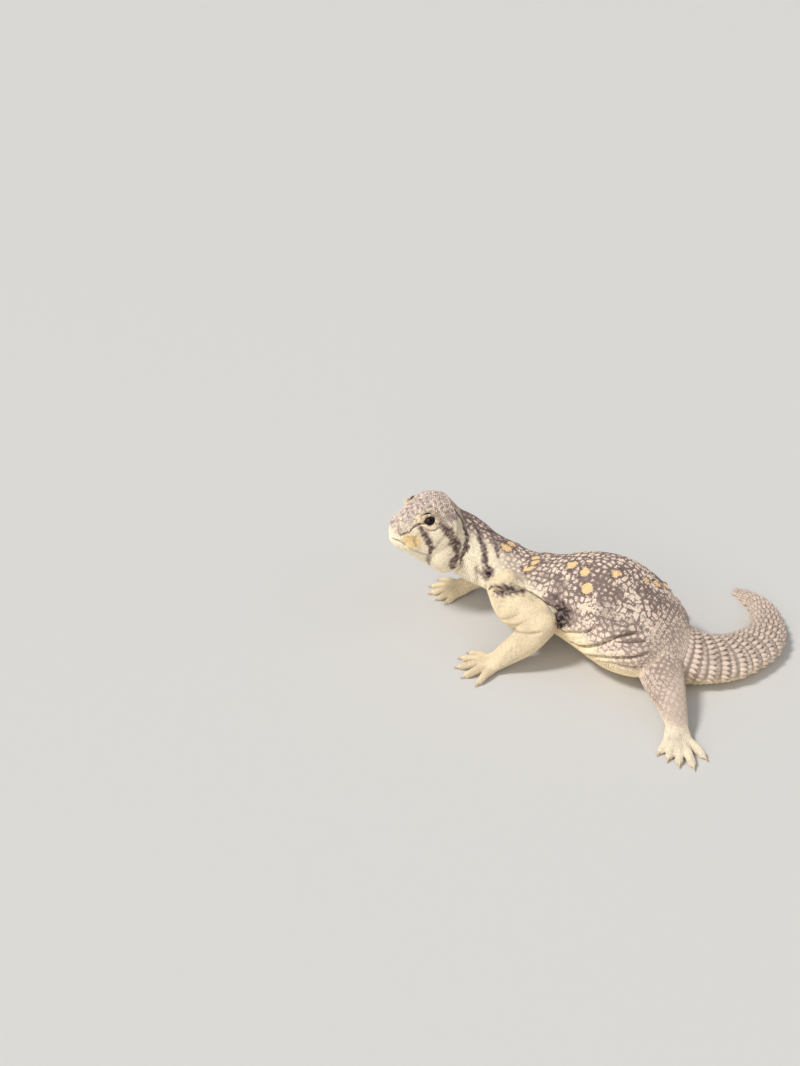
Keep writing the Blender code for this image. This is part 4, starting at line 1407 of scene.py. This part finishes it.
@dataclass(frozen=True)
class WetEye:
    """A living eye: a dark brown iris round a black pupil, under a wet, clear cornea."""

    pupil: str = "#040202"
    iris: str = "#241409"
    rim: str = "#0C0604"

    def build(self) -> Material:
        """Build the material, which reads the distance from the middle of the gaze."""
        # The film of water has the index of a cornea and gives one small, bright highlight.
        values = {"Roughness": 0.1, "IOR": 1.38, "Specular IOR Level": 0.4}
        material, shader = new_material("wet_eye", values)
        tree = material.node_tree
        gaze = add_node(tree, "ShaderNodeAttribute", attribute_name="gaze").outputs["Fac"]
        ramp = add_node(tree, "ShaderNodeValToRGB", {"Fac": gaze})
        stops = ((0.0, self.pupil), (0.20, self.pupil), (0.25, self.iris), (0.46, self.iris), (0.56, self.rim))
        for i, (place, code) in enumerate(stops):
            stop = ramp.color_ramp.elements[i] if i < 2 else ramp.color_ramp.elements.new(place)
            stop.position, stop.color = place, linear(code)
        tree.links.new(ramp.outputs["Color"], shader.inputs["Base Color"])
        return material


@dataclass
class ScaleShape:
    """Shape of one scale on a footprint from -1 to 1, with its lie along +X and its height along +Z."""

    name: str
    rings: Rows
    tip: tuple
    sides: int = 6

    def build(self) -> Object:
        """Build the shape as a closed mesh."""
        turn = np.linspace(0, math.tau, self.sides, endpoint=False) + math.pi / self.sides
        rings = [
            np.column_stack([forward + np.cos(turn) * long, np.sin(turn) * wide, np.full(self.sides, height)])
            for forward, long, wide, height in self.rings
        ]
        points = np.vstack([*rings, [self.tip]])
        faces = [tuple(range(self.sides - 1, -1, -1))]
        for i in range(len(rings) - 1):
            for k in range(self.sides):
                here, after = i * self.sides + k, i * self.sides + (k + 1) % self.sides
                faces.append((here, after, after + self.sides, here + self.sides))
        top = (len(rings) - 1) * self.sides
        faces += [(top + k, top + (k + 1) % self.sides, len(points) - 1) for k in range(self.sides)]
        return mesh_object(self.name, points, faces)


GRANULE = ScaleShape("granule", ((0, 1.0, 1.0, -0.9), (0, 0.86, 0.86, 0.5)), (0.05, 0, 1.0))
PEBBLE = ScaleShape("pebble", ((0, 1.0, 1.0, -0.9), (0, 0.9, 0.9, 0.6)), (0.0, 0, 1.0))
PLATE = ScaleShape("plate", ((0, 1.0, 1.0, -0.9), (0, 0.88, 0.9, 0.7)), (0.1, 0, 1.0), 8)
THORN = ScaleShape(
    "thorn", ((0, 1.0, 1.0, -0.6), (0.25, 0.8, 0.75, 0.3), (1.0, 0.35, 0.36, 0.75)), (2.1, 0, 1.0), 8
)


@dataclass
class Coat:
    """Scales set on the skin by Geometry Nodes, each with its own share of the markings."""

    plan: BodyPlan
    spine: Spine
    shop: Workshop
    markings: Markings
    skin: Surface
    patch: float = 0.003
    most: int = 8900
    marks: tuple = ("dark", "gold", "back", "lilac", "yellow", "tone")
    guides: tuple = ("facing", "lie", "size", "root_uv", "local")

    def tree(self) -> NodeTree:
        """Build the tree that sets a scale on each point, with a random twist from a fixed seed."""
        tree = bpy.data.node_groups.new("set_scales", "GeometryNodeTree")
        names = ("Geometry", "Scale Shape", "Finish", "Patch", "Twist", "Seed")
        for name, kind in zip(names, ("Geometry", "Object", "Material", "Float", "Float", "Int")):
            tree.interface.new_socket(name, in_out="INPUT", socket_type="NodeSocket" + kind)
        tree.interface.new_socket("Geometry", in_out="OUTPUT", socket_type="NodeSocketGeometry")
        start = add_node(tree, "NodeGroupInput").outputs
        read, kind = {}, "GeometryNodeInputNamedAttribute"
        for name in ("facing", "lie", "size", "root_uv"):
            read[name] = add_node(tree, kind, {"Name": name}, data_type="FLOAT_VECTOR").outputs[0]
        shape = add_node(tree, "GeometryNodeObjectInfo", {"Object": start["Scale Shape"]}).outputs["Geometry"]
        place = add_node(tree, "GeometryNodeInputPosition").outputs[0]
        store = "GeometryNodeStoreNamedAttribute"
        feeds = {"Geometry": shape, "Name": "local", "Value": place}
        shape = add_node(tree, store, feeds, data_type="FLOAT_VECTOR").outputs[0]
        align = "FunctionNodeAlignRotationToVector"
        turn = add_node(tree, align, {"Vector": read["facing"]}, axis="Z").outputs[0]
        feeds = {"Rotation": turn, "Vector": read["lie"]}
        turn = add_node(tree, align, feeds, axis="X", pivot_axis="Z").outputs[0]
        back = add_node(tree, "ShaderNodeMath", {0: start["Twist"], 1: -1.0}, operation="MULTIPLY").outputs[0]
        chance = {"Min": back, "Max": start["Twist"], "Seed": start["Seed"]}
        twist = add_node(tree, "FunctionNodeRandomValue", chance, data_type="FLOAT").outputs["Value"]
        spin = add_node(tree, "ShaderNodeCombineXYZ", {"Z": twist}).outputs[0]
        feeds = {"Rotation": turn, "Rotate By": spin}
        turn = add_node(tree, "FunctionNodeRotateRotation", feeds, rotation_space="LOCAL").outputs[0]
        feeds = {"Points": start["Geometry"], "Instance": shape, "Rotation": turn, "Scale": read["size"]}
        placed = add_node(tree, "GeometryNodeInstanceOnPoints", feeds).outputs[0]
        real = add_node(tree, "GeometryNodeRealizeInstances", {"Geometry": placed}).outputs[0]
        local = add_node(tree, kind, {"Name": "local"}, data_type="FLOAT_VECTOR").outputs[0]
        half = add_node(tree, "ShaderNodeMath", {0: start["Patch"], 1: 0.5}, operation="MULTIPLY").outputs[0]
        step = add_node(tree, "ShaderNodeVectorMath", {0: local, "Scale": half}, operation="SCALE").outputs[0]
        spot = add_node(tree, "ShaderNodeVectorMath", {0: read["root_uv"], 1: step}, operation="ADD").outputs[0]
        feeds = {"Geometry": real, "Name": "OFBake", "Value": spot}
        real = add_node(tree, store, feeds, data_type="FLOAT2", domain="CORNER").outputs[0]
        feeds = {"Geometry": real, "Material": start["Finish"]}
        finished = add_node(tree, "GeometryNodeSetMaterial", feeds).outputs[0]
        add_node(tree, "NodeGroupOutput", {"Geometry": finished})
        return tree

    def dress(self, name: str, source: Object, values: dict) -> Object:
        """Run the tree on a source and keep the result as a plain mesh.

        Args:
            name: Name of the piece.
            source: Object whose mesh holds the points. It is removed.
            values: Values of the tree's inputs by name.

        Returns:
            The piece.
        """
        modifier = source.modifiers.new("Scales", "NODES")
        modifier.node_group = self.tree()
        for item in modifier.node_group.interface.items_tree:
            if item.in_out == "INPUT" and item.name in values:
                modifier[item.identifier] = values[item.name]
        mesh = evaluated_mesh(source)
        bpy.data.objects.remove(source)
        for guide in self.guides:
            if guide in mesh.attributes:
                mesh.attributes.remove(mesh.attributes[guide])
        mesh.name = name
        mesh.shade_smooth()
        self.shop.settle(mesh, self.shop.to_plan(mesh))
        return add_object(name, mesh)

    def piece(
        self, name: str, roots: dict, shape: ScaleShape, finish: Material, twist: float = 0.0
    ) -> Object:
        """Set one scale on each of the given roots.

        Args:
            name: Name of the piece.
            roots: Arrays by name: points, facing, lie, size and root_uv.
            shape: Shape of the scales.
            finish: Their material.
            twist: Most that a scale turns out of its lie, in radians.

        Returns:
            The piece.
        """
        source = mesh_object(name + "_roots", self.shop.to_row(roots["points"]))
        mesh = source.data
        for guide in ("facing", "lie", "root_uv"):
            put_attribute(mesh, guide, roots[guide])
        put_attribute(mesh, "size", roots["size"] * MM)
        shares = self.markings.masks(roots["points"])
        shares["tone"] = np.random.default_rng(len(mesh.vertices)).uniform(0, 1, len(mesh.vertices))
        for mark in self.marks:
            put_attribute(mesh, mark, np.clip(shares[mark], 0, 1))
        template = shape.build()
        values = {"Scale Shape": template, "Finish": finish, "Patch": self.patch, "Twist": twist, "Seed": 3}
        piece = self.dress(name, source, values)
        bpy.data.objects.remove(template)
        return piece


@dataclass
class TrunkScales(Coat):
    """Small scales in rows across the neck and the body."""

    pitch_along: float = 0.66
    pitch_around: float = 0.64
    height: float = 0.19
    start: float = 1.02
    end: float = 10.05
    farthest: float = 2.2
    floor_gap: float = 0.12
    least_facing: float = 0.35
    placed: Array = field(init=False)

    def roots(self) -> dict:
        """Place the scales' roots in staggered rows and lay them on the skin."""
        random = np.random.default_rng(4)
        ts, angles, us = [], [], []
        first, last = self.spine.distance_at(self.start), self.spine.distance_at(self.end)
        for row, distance in enumerate(np.arange(first, last, self.pitch_along)):
            t = float(self.spine.t_at(distance))
            fine = np.linspace(0, math.tau, 361)
            ring, _ = self.spine.surface(np.full(361, t), fine)
            along = lengths_along(ring)
            count = round(along[-1] / self.pitch_around)
            wanted = (np.arange(count) + 0.5 * (row % 2) + random.uniform(-0.1, 0.1, count)) % count
            angles.append(np.interp(wanted / count * along[-1], along, fine))
            ts.append(np.full(count, t) + random.uniform(-0.01, 0.01, count))
            us.append(np.full(count, (distance - first) / (last - first)))
        t, angle, u = (np.concatenate(values) for values in (ts, angles, us))
        points, heading = self.spine.surface(t, angle, -0.25)
        place, number, weights, gap = self.skin.find(points)
        size = np.array([0.54 * self.pitch_along, 0.52 * self.pitch_around, self.height])
        table = {
            "points": place,
            "facing": self.skin.facing(number, weights),
            "lie": heading,
            "size": size * random.uniform(0.93, 1.05, (len(t), 1)),
            "root_uv": np.column_stack([0.01 + 0.98 * u, 0.01 + 0.98 * angle / math.tau]),
        }
        outwards, _ = self.spine.surface(t, angle, 1.0)
        kept = (gap < self.farthest) & (place[:, 2] > self.floor_gap)
        kept &= ((outwards - points) * table["facing"]).sum(1) > self.least_facing
        return {key: values[kept] for key, values in table.items()}

    def build(self, finish: Material) -> list[Object]:
        """Build the scales in as few pieces as the limit on triangles allows."""
        roots = self.roots()
        self.placed = roots["points"]
        total, pieces = len(self.placed), []
        count = math.ceil(total / self.most)
        for i in range(count):
            part = slice(i * total // count, (i + 1) * total // count)
            share = {key: values[part] for key, values in roots.items()}
            pieces.append(self.piece(f"body_scales_{i + 1}", share, GRANULE, finish, 0.2))
        return pieces


@dataclass
class PackedScales(Coat):
    """Small scales that push each other apart until they fill the head or a leg evenly."""

    rounds: int = 9
    steps: int = 3
    cover: float = 0.53
    rise: float = 0.3
    fill: float = 0.84
    reach: float = 1.15
    push: float = 0.3

    def build(
        self,
        name: str,
        kept: Array,
        pace: Array,
        lie: Array,
        fixed: Array,
        shape: ScaleShape,
        finish: Material,
    ) -> tuple[Object, Array]:
        """Build the scales on a part of the skin.

        Args:
            name: Name of the piece.
            kept: True for each point of the skin that carries them.
            pace: Distance from scale to scale at each point of the skin.
            lie: Direction they lie in at each point of the skin.
            fixed: Roots of other scales, which keep their places.
            shape: Shape of the scales.
            finish: Their material.

        Returns:
            The piece and the places of its scales.
        """
        cloth, used = self.cut_out(name, kept)
        ground = Surface(self.shop, cloth.data)
        uv = read_rows(cloth.data.uv_layers["root_uv"].uv, "vector", 2)
        places, pace = self.spread(ground, pace[used], fixed)
        place, number, weights, _ = ground.find(places)
        corners = ground.corners[number]
        near = np.clip(self.neighbours(place, place)[1][:, :5].mean(1), 0.8 * pace, 1.12 * pace)
        roots = {
            "points": place,
            "facing": ground.facing(number, weights),
            "lie": (lie[used][corners] * weights[..., None]).sum(1),
            "size": np.outer(near, (self.cover, self.cover, self.rise)),
            "root_uv": (uv[ground.loops[number]] * weights[..., None]).sum(1),
        }
        bpy.data.objects.remove(cloth)
        return self.piece(name, roots, shape, finish, 0.5), place

    def neighbours(self, places: Array, others: Array) -> tuple[Array, Array]:
        """Find the six nearest other roots of each root.

        Args:
            places: Roots.
            others: Roots to look among, those of places first.

        Returns:
            Their numbers and distances.
        """
        tree = tree_of(others)
        found = [tree.find_n(place, 7)[1:] for place in places]
        numbers = np.array([[hit[1] for hit in hits] for hits in found])
        return numbers, np.array([[hit[2] for hit in hits] for hits in found])

    def spread(self, ground: Surface, pace: Array, fixed: Array) -> tuple[Array, Array]:
        """Scatter roots by area and let them push each other apart along the surface.

        Args:
            ground: Surface that carries them.
            pace: Distance from scale to scale at each of its points.
            fixed: Roots that keep their places.

        Returns:
            The roots' places and the pace at each.
        """
        a, b, c = (ground.points[ground.corners[:, k]] for k in range(3))
        pace = pace[ground.corners].mean(1)
        weight = norm(np.cross(b - a, c - a)) / 2 / (self.fill * pace**2)
        random = np.random.default_rng(len(weight))
        chosen = random.choice(len(weight), round(weight.sum()), p=weight / weight.sum())
        share = random.uniform(size=(len(chosen), 2, 1))
        share = np.where(share.sum(1, keepdims=True) > 1, 1 - share, share)
        places = a[chosen] + share[:, 0] * (b - a)[chosen] + share[:, 1] * (c - a)[chosen]
        low, high = ground.points.min(0) - 1, ground.points.max(0) + 1
        fixed = fixed[np.all((fixed > low) & (fixed < high), axis=1)]
        pace = pace[chosen][:, None]
        for _ in range(self.rounds):
            numbers, _ = self.neighbours(places, np.vstack([places, fixed]))
            for _ in range(self.steps):
                away = places[:, None] - np.vstack([places, fixed])[numbers]
                length = norm(away) + 1e-6
                push = np.maximum(self.reach * pace - length, 0) / length
                places = places + self.push * (away * push[..., None]).sum(1)
            places = ground.find(places)[0]
        return places, pace[:, 0]

    def cut_out(self, name: str, kept: Array) -> tuple[Object, Array]:
        """Copy the faces of a part of the skin, unwrapped, and give the numbers of its points."""
        whole = kept[self.skin.corners].all(1)
        used = np.unique(self.skin.corners[whole])
        renumber = np.zeros(len(self.skin.points), int)
        renumber[used] = np.arange(len(used))
        corners = renumber[self.skin.corners[whole]].tolist()
        cloth = mesh_object(name + "_ground", self.shop.to_row(self.skin.points[used]), corners)
        cloth.data.update()
        self.unwrap(cloth)
        return cloth, used

    def unwrap(self, obj: Object) -> None:
        """Unwrap an object's own shape into the map that gives each scale its place."""
        obj.data.uv_layers.new(name="root_uv")
        with bpy.context.temp_override(active_object=obj, object=obj, selected_objects=[obj]):
            bpy.context.view_layer.objects.active = obj
            obj.select_set(True)
            bpy.ops.object.mode_set(mode="EDIT")
            bpy.ops.mesh.select_all(action="SELECT")
            bpy.ops.uv.smart_project(angle_limit=math.radians(66), island_margin=0.004)
            bpy.ops.object.mode_set(mode="OBJECT")
            obj.select_set(False)


@dataclass
class TailArmour(Coat):
    """Whorls of spiny plates round the tail, with small flat scales beneath."""

    whorls: int = 18
    across: tuple = (19, 9)
    top: tuple = (-14, 194)
    under: tuple = (200, 340)

    def starts(self) -> Array:
        """Distances along the spine where the whorls start, and where the last one ends."""
        first, last = self.spine.distance_at(self.plan.vent) + 0.3, self.spine.lengths[-1]
        shares = np.linspace(0, 1, self.whorls + 1)
        return first + (last - first) * (1.12 * shares - 0.12 * shares**2)

    def ring(self, distance: float, count: int, arc: tuple, size: tuple, shift: float) -> dict:
        """Place one ring of roots.

        Args:
            distance: Where it is along the spine.
            count: Scales in the ring.
            arc: First and last angle in degrees.
            size: Half length, half width and height of a scale.
            shift: Distance outwards from the solids' surface.

        Returns:
            The roots' arrays by name.
        """
        t = np.full(count, float(self.spine.t_at(distance)))
        angle = np.radians(np.linspace(*arc, count))
        points, heading = self.spine.surface(t, angle, shift)
        around, _ = self.spine.surface(t, angle + 0.02, shift)
        facing = unit(np.cross(heading, points - around))
        centre = frames_of(self.spine.rows, t).centre
        facing *= np.sign(((points - centre) * facing).sum(1, keepdims=True))
        points[:, 2] = np.maximum(points[:, 2], size[2] * 0.4 + 0.3)
        first, last = self.spine.distance_at(self.plan.vent), self.spine.lengths[-1]
        u = np.full(count, (distance - first) / (last - first))
        uv = np.column_stack([0.01 + 0.98 * u, 0.01 + 0.98 * (angle % math.tau) / math.tau])
        sizes = np.tile(size, (count, 1))
        return {"points": points, "facing": facing, "lie": heading, "size": sizes, "root_uv": uv}

    def build(self, finish: Material) -> list[Object]:
        """Build the plates and the spines."""
        plates, thorns = [], []
        starts = self.starts()
        for i in range(self.whorls):
            progress = i / (self.whorls - 1)
            length = starts[i + 1] - starts[i]
            count = round(self.across[0] + (self.across[1] - self.across[0]) * progress)
            t = float(self.spine.t_at(starts[i] + length / 2))
            half_width = spline(self.spine.rows, t)[0, 3]
            wide = math.pi * half_width * 1.12 / (count - 1) * 0.52
            size = (0.24 * length, wide, 0.30 * wide + 0.42)
            thorns.append(self.ring(starts[i] + 0.66 * length, count, self.top, size, 0.0))
            size = (0.26 * length, wide * 0.95, 0.35)
            plates.append(self.ring(starts[i] + 0.2 * length, count + 1, self.top, size, -0.2))
            size, small = (0.19 * length, wide * 0.9, 0.3), max(5, round(count * 0.8))
            for share in (0.15, 0.48, 0.82):
                plates.append(self.ring(starts[i] + share * length, small, self.under, size, -0.25))
        pieces = []
        for name, rings, shape in (("tail_plates", plates, PLATE), ("tail_spines", thorns, THORN)):
            roots = {key: np.concatenate([ring[key] for ring in rings]) for key in rings[0]}
            pieces.append(self.piece(name, roots, shape, finish))
        return pieces


@dataclass
class Claws:
    """Curved claws at the tips of the digits."""

    plan: BodyPlan
    skin: Skin
    shop: Workshop
    sides: int = 12
    steps: int = 9

    def build(self, leg: str, finish: Material) -> Object:
        """Build the five claws of one foot as one piece."""
        parts = MeshParts()
        _, fingers = self.skin.digit_rows(leg)
        share = np.linspace(0, 1, self.steps)
        length, radius = self.plan.claw_length, self.plan.claw_radius
        turn = np.linspace(0, math.tau, self.sides, endpoint=False)[None, :, None]
        for _, root, out in fingers:
            drop = UP * (length * 0.36 * share[:, None] ** 2)
            centre = root + out * (length * (share[:, None] * 1.3 - 0.35)) - drop
            heading = unit(np.gradient(centre, axis=0))
            side = unit(np.cross(UP, heading))
            up = np.cross(heading, side)
            size = radius * (1 - share**1.6 * 0.93)[:, None, None]
            wheel = side[:, None] * np.cos(turn) + up[:, None] * np.sin(turn) * 1.15
            rings = centre[:, None] + wheel * size
            rings[..., 2] = np.maximum(rings[..., 2], 0.02)
            parts.add_rings(rings)
        piece = self.shop.make("claws_" + leg, parts)
        put_attribute(piece.data, "tip", np.tile(np.repeat(share**2, self.sides), len(fingers)))
        piece.data.materials.append(finish)
        return piece


@dataclass
class Eyes:
    """The eyeballs, with the gaze measured from the middle of the pupil."""

    plan: BodyPlan
    shop: Workshop
    maker: Skin
    rounds: int = 48
    rows: int = 35
    cornea: float = 0.16

    def build(self, side: Side, finish: Material) -> Object:
        """Build one eye."""
        middle, look, along, across = self.maker.eye_frame(side)
        polar, turn = ball_angles(self.rows, self.rounds)
        reach = np.sin(polar) * (np.cos(turn) * along + np.sin(turn) * across)
        ball = (reach + np.cos(polar) * look) * self.plan.eye_radius
        ball += look * self.cornea * smooth(0.9, 0.3, polar)
        parts = MeshParts()
        parts.add_ball(self.plan.in_head(ball + middle), self.rounds, self.rows)
        piece = self.shop.make("eyeball_" + side.name.lower(), parts)
        put_attribute(piece.data, "gaze", polar[:, 0] / math.pi * 1.6)
        piece.data.materials.append(finish)
        return piece


@dataclass
class Studio:
    """A pale floor, soft lights and the camera at the photo's place."""

    shop: Workshop
    camera_place: tuple = (120.3, -340.0, 250.3)
    camera_turn: tuple = (60.5, 0.0, 32.0)
    lens: float = 37.9
    floor_reach: float = 8.0
    floor_colour: str = "#CBC8C3"
    sky_colour: str = "#E6E9EE"
    sky_strength: float = 0.42
    lamps: Rows = ((-0.9, -1.1, 1.95, 12.0, 2.45), (0.25, -2.0, 0.6, 60.0, 1.65), (1.5, 0.6, 1.6, 60.0, 0.3))

    def build(self) -> None:
        """Build the floor, the lights and the camera."""
        scene, reach = bpy.context.scene, self.floor_reach
        corners = [(-reach, -reach, 0), (reach, -reach, 0), (reach, reach, 0), (-reach, reach, 0)]
        floor = mesh_object("floor", corners, [(0, 1, 2, 3)])
        # Matt painted board: it takes the shadow under the animal and shows no highlight.
        board, _ = new_material("pale_floor", {"Base Color": linear(self.floor_colour), "Roughness": 0.8})
        floor.data.materials.append(board)
        floor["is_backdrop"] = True
        for i, (x, y, z, spread, power) in enumerate(self.lamps):
            lamp = bpy.data.lights.new(f"soft_lamp_{i + 1}", "SUN")
            lamp.energy, lamp.angle = power, math.radians(spread)
            holder = add_object(lamp.name, lamp)
            holder.location = (x, y, z)
            holder.rotation_euler = (-holder.location).to_track_quat("-Z", "Y").to_euler()
        world = bpy.data.worlds.new("soft_sky")
        world.use_nodes = True
        for key, value in {"Color": linear(self.sky_colour), "Strength": self.sky_strength}.items():
            world.node_tree.nodes["Background"].inputs[key].default_value = value
        scene.world = world
        scene.view_settings.view_transform = "Standard"
        camera = bpy.data.cameras.new("photo_camera")
        camera.lens, camera.sensor_width, camera.clip_start = self.lens, 36.0, 0.01
        scene.camera = add_object("photo_camera", camera)
        scene.camera.location = self.shop.to_row(np.array(self.camera_place)).tolist()
        scene.camera.rotation_euler = [math.radians(turn) for turn in self.camera_turn]


TRUNK_NODES = ("head", "lower_jaw", "neck", "torso", "tail_root", "tail_middle", "tail_tip")
LEG_PARTS = ("upper", "lower", "foot")


def finish_piece(piece: Object, slot: str, *nodes: str) -> None:
    """Hang a piece on the body and report it.

    Args:
        piece: The piece.
        slot: Material slot of the record; not used.
        *nodes: Nodes of the solids that it stands for.
    """
    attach(piece, "root")
    if nodes:
        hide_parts(*nodes)
    LOG.info("%s: %d triangles", piece.name, triangles(piece.data))


def limb_lie(plan: BodyPlan, points: Array) -> tuple[Array, Array]:
    """Find which leg is nearest to each point and the leg's direction there.

    Args:
        plan: Sizes of the animal.
        points: Points of the skin.

    Returns:
        Number of the nearest leg and direction towards its foot.
    """
    best = np.full(len(points), 1e9)
    number = np.zeros(len(points), int)
    lie = np.zeros((len(points), 3))
    for k, leg in enumerate(plan.legs):
        rows = [row[:3] for part in ("upper", "lower") for row in plan.legs[leg][part]]
        heading, length, _, _ = plan.feet[leg]
        turn = math.radians(heading)
        ahead = (math.cos(turn) * 2 * length, math.sin(turn) * 2 * length, -3.0)
        rows.append(tuple(np.array(rows[-1]) + ahead))
        corners = spline(rows, np.linspace(0, len(rows) - 1, 25))
        for a, b in zip(corners[:-1], corners[1:]):
            gap = norm(points - (a + b) / 2)
            nearer = gap < best
            best[nearer], number[nearer] = gap[nearer], k
            lie[nearer] = unit(b - a)
    return number, lie


@dataclass
class Animal:
    """The whole animal: its skin, coat of scales, claws and eyes."""

    plan: BodyPlan
    spine: Spine
    shop: Workshop
    maker: Skin
    limb_pace: float = 0.64
    digit_pace: float = 0.52
    head_pace: float = 0.68
    eye_clearance: float = 0.22
    # Painted shade: the skin that shows between the scales is darker than the scales.
    shade_between: float = 0.68
    clear_of_rows: float = 0.5
    floor_gap: float = 0.05
    tail_reach: float = 1.3
    head_reach: float = 25.0

    def build(self) -> None:
        """Build every piece."""
        skin = self.maker.build()
        ground = Surface(self.shop, skin.data)
        markings = Markings(self.plan, self.spine, ground)
        for mark, values in markings.masks(ground.points).items():
            put_attribute(skin.data, mark, np.clip(values, 0, 1))
        put_attribute(skin.data, "tone", 0.5 + 0.4 * tangled_noise(ground.points, 1.2, 77))
        skin.data.materials.clear()
        skin.data.materials.append(Hide(shade=self.shade_between).build("skin_between_scales"))
        limbs = [f"{leg}_{part}" for leg in self.plan.legs for part in LEG_PARTS]
        finish_piece(skin, "skin", *TRUNK_NODES, *limbs)
        self.coat(Hide().build("scaled_hide"), (self.plan, self.spine, self.shop, markings, ground))
        horn, wet = Horn().build(), WetEye().build()
        for leg in self.plan.legs:
            finish_piece(Claws(self.plan, self.maker, self.shop).build(leg, horn), "skin")
        for side in Side:
            piece = Eyes(self.plan, self.shop, self.maker).build(side, wet)
            finish_piece(piece, "eye", "eye_" + side.name.lower())

    def coat(self, hide: Material, common: tuple) -> None:
        """Build the coat: rows on the trunk first, then the tail, and packed scales on what they leave bare.

        Args:
            hide: Material of the scales.
            common: What every coat reads: plan, spine, workshop, markings and the skin's surface.
        """
        points = common[-1].points
        trunk = TrunkScales(*common)
        for piece in trunk.build(hide):
            finish_piece(piece, "skin")
        for piece in TailArmour(*common).build(hide):
            finish_piece(piece, "tail")
        placed = trunk.placed
        packed = PackedScales(*common)
        gap = packed.neighbours(points, np.vstack([placed, placed[:1]]))[1][:, 0]
        t, _, reach = self.spine.nearest(points)
        head = self.plan.to_head(points)
        on_tail = (t > self.plan.vent + 0.02) & (reach < self.tail_reach)
        free = (gap > self.clear_of_rows) & (points[:, 2] > self.floor_gap) & ~on_tail & ~self.bare(points)
        on_head = (head[:, 0] > self.plan.head_back - 2.0) & (norm(head) < self.head_reach)
        backwards = np.tile(-self.plan.head_axes()[0], (len(points), 1))
        pace = self.head_paces(points, head)
        piece, roots = packed.build("scales_head", free & on_head, pace, backwards, placed, PEBBLE, hide)
        finish_piece(piece, "skin")
        number, lie = limb_lie(self.plan, points)
        toes = smooth(4.2, 2.4, points[:, 2])
        pace = self.limb_pace + (self.digit_pace - self.limb_pace) * toes
        placed = np.vstack([placed, roots])
        for k, leg in enumerate(self.plan.legs):
            kept = free & ~on_head & (number == k)
            piece, _ = packed.build(f"scales_{leg}", kept, pace, lie, placed, GRANULE, hide)
            finish_piece(piece, "skin")

    def head_paces(self, points: Array, head: Array) -> Array:
        """Find the distance from scale to scale on the head: large on crown and lips, small round the eyes."""
        pace = self.head_pace + 0.26 * smooth(4.0, 8.0, head[:, 2]) + 0.1 * smooth(8.0, 11.0, head[:, 0])
        return pace - 0.26 * smooth(6.0, 4.0, self.maker.eye_gap(points))

    def bare(self, points: Array) -> Array:
        """Find where no scales grow: in the line of the mouth, the nostrils, the ears and the eyes."""
        bare = self.maker.eye_gap(points) < self.plan.eye_radius + self.eye_clearance
        for crease in creases(self.plan):
            if crease.bare:
                bare |= distance_to_path(points, crease.path)[0] < crease.bare
        return bare


def main() -> None:
    """Build the animal, dress it and set the studio."""
    logging.basicConfig(level=logging.INFO, format="%(message)s")
    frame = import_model()
    LOG.info("%d nodes loaded", len(frame["nodes"]))
    plan = BodyPlan()
    spine = Spine(plan)
    shop = Workshop(plan)
    Studio(shop).build()
    Animal(plan, spine, shop, Skin(plan, spine, shop)).build()


if __name__ == "__main__":
    main()
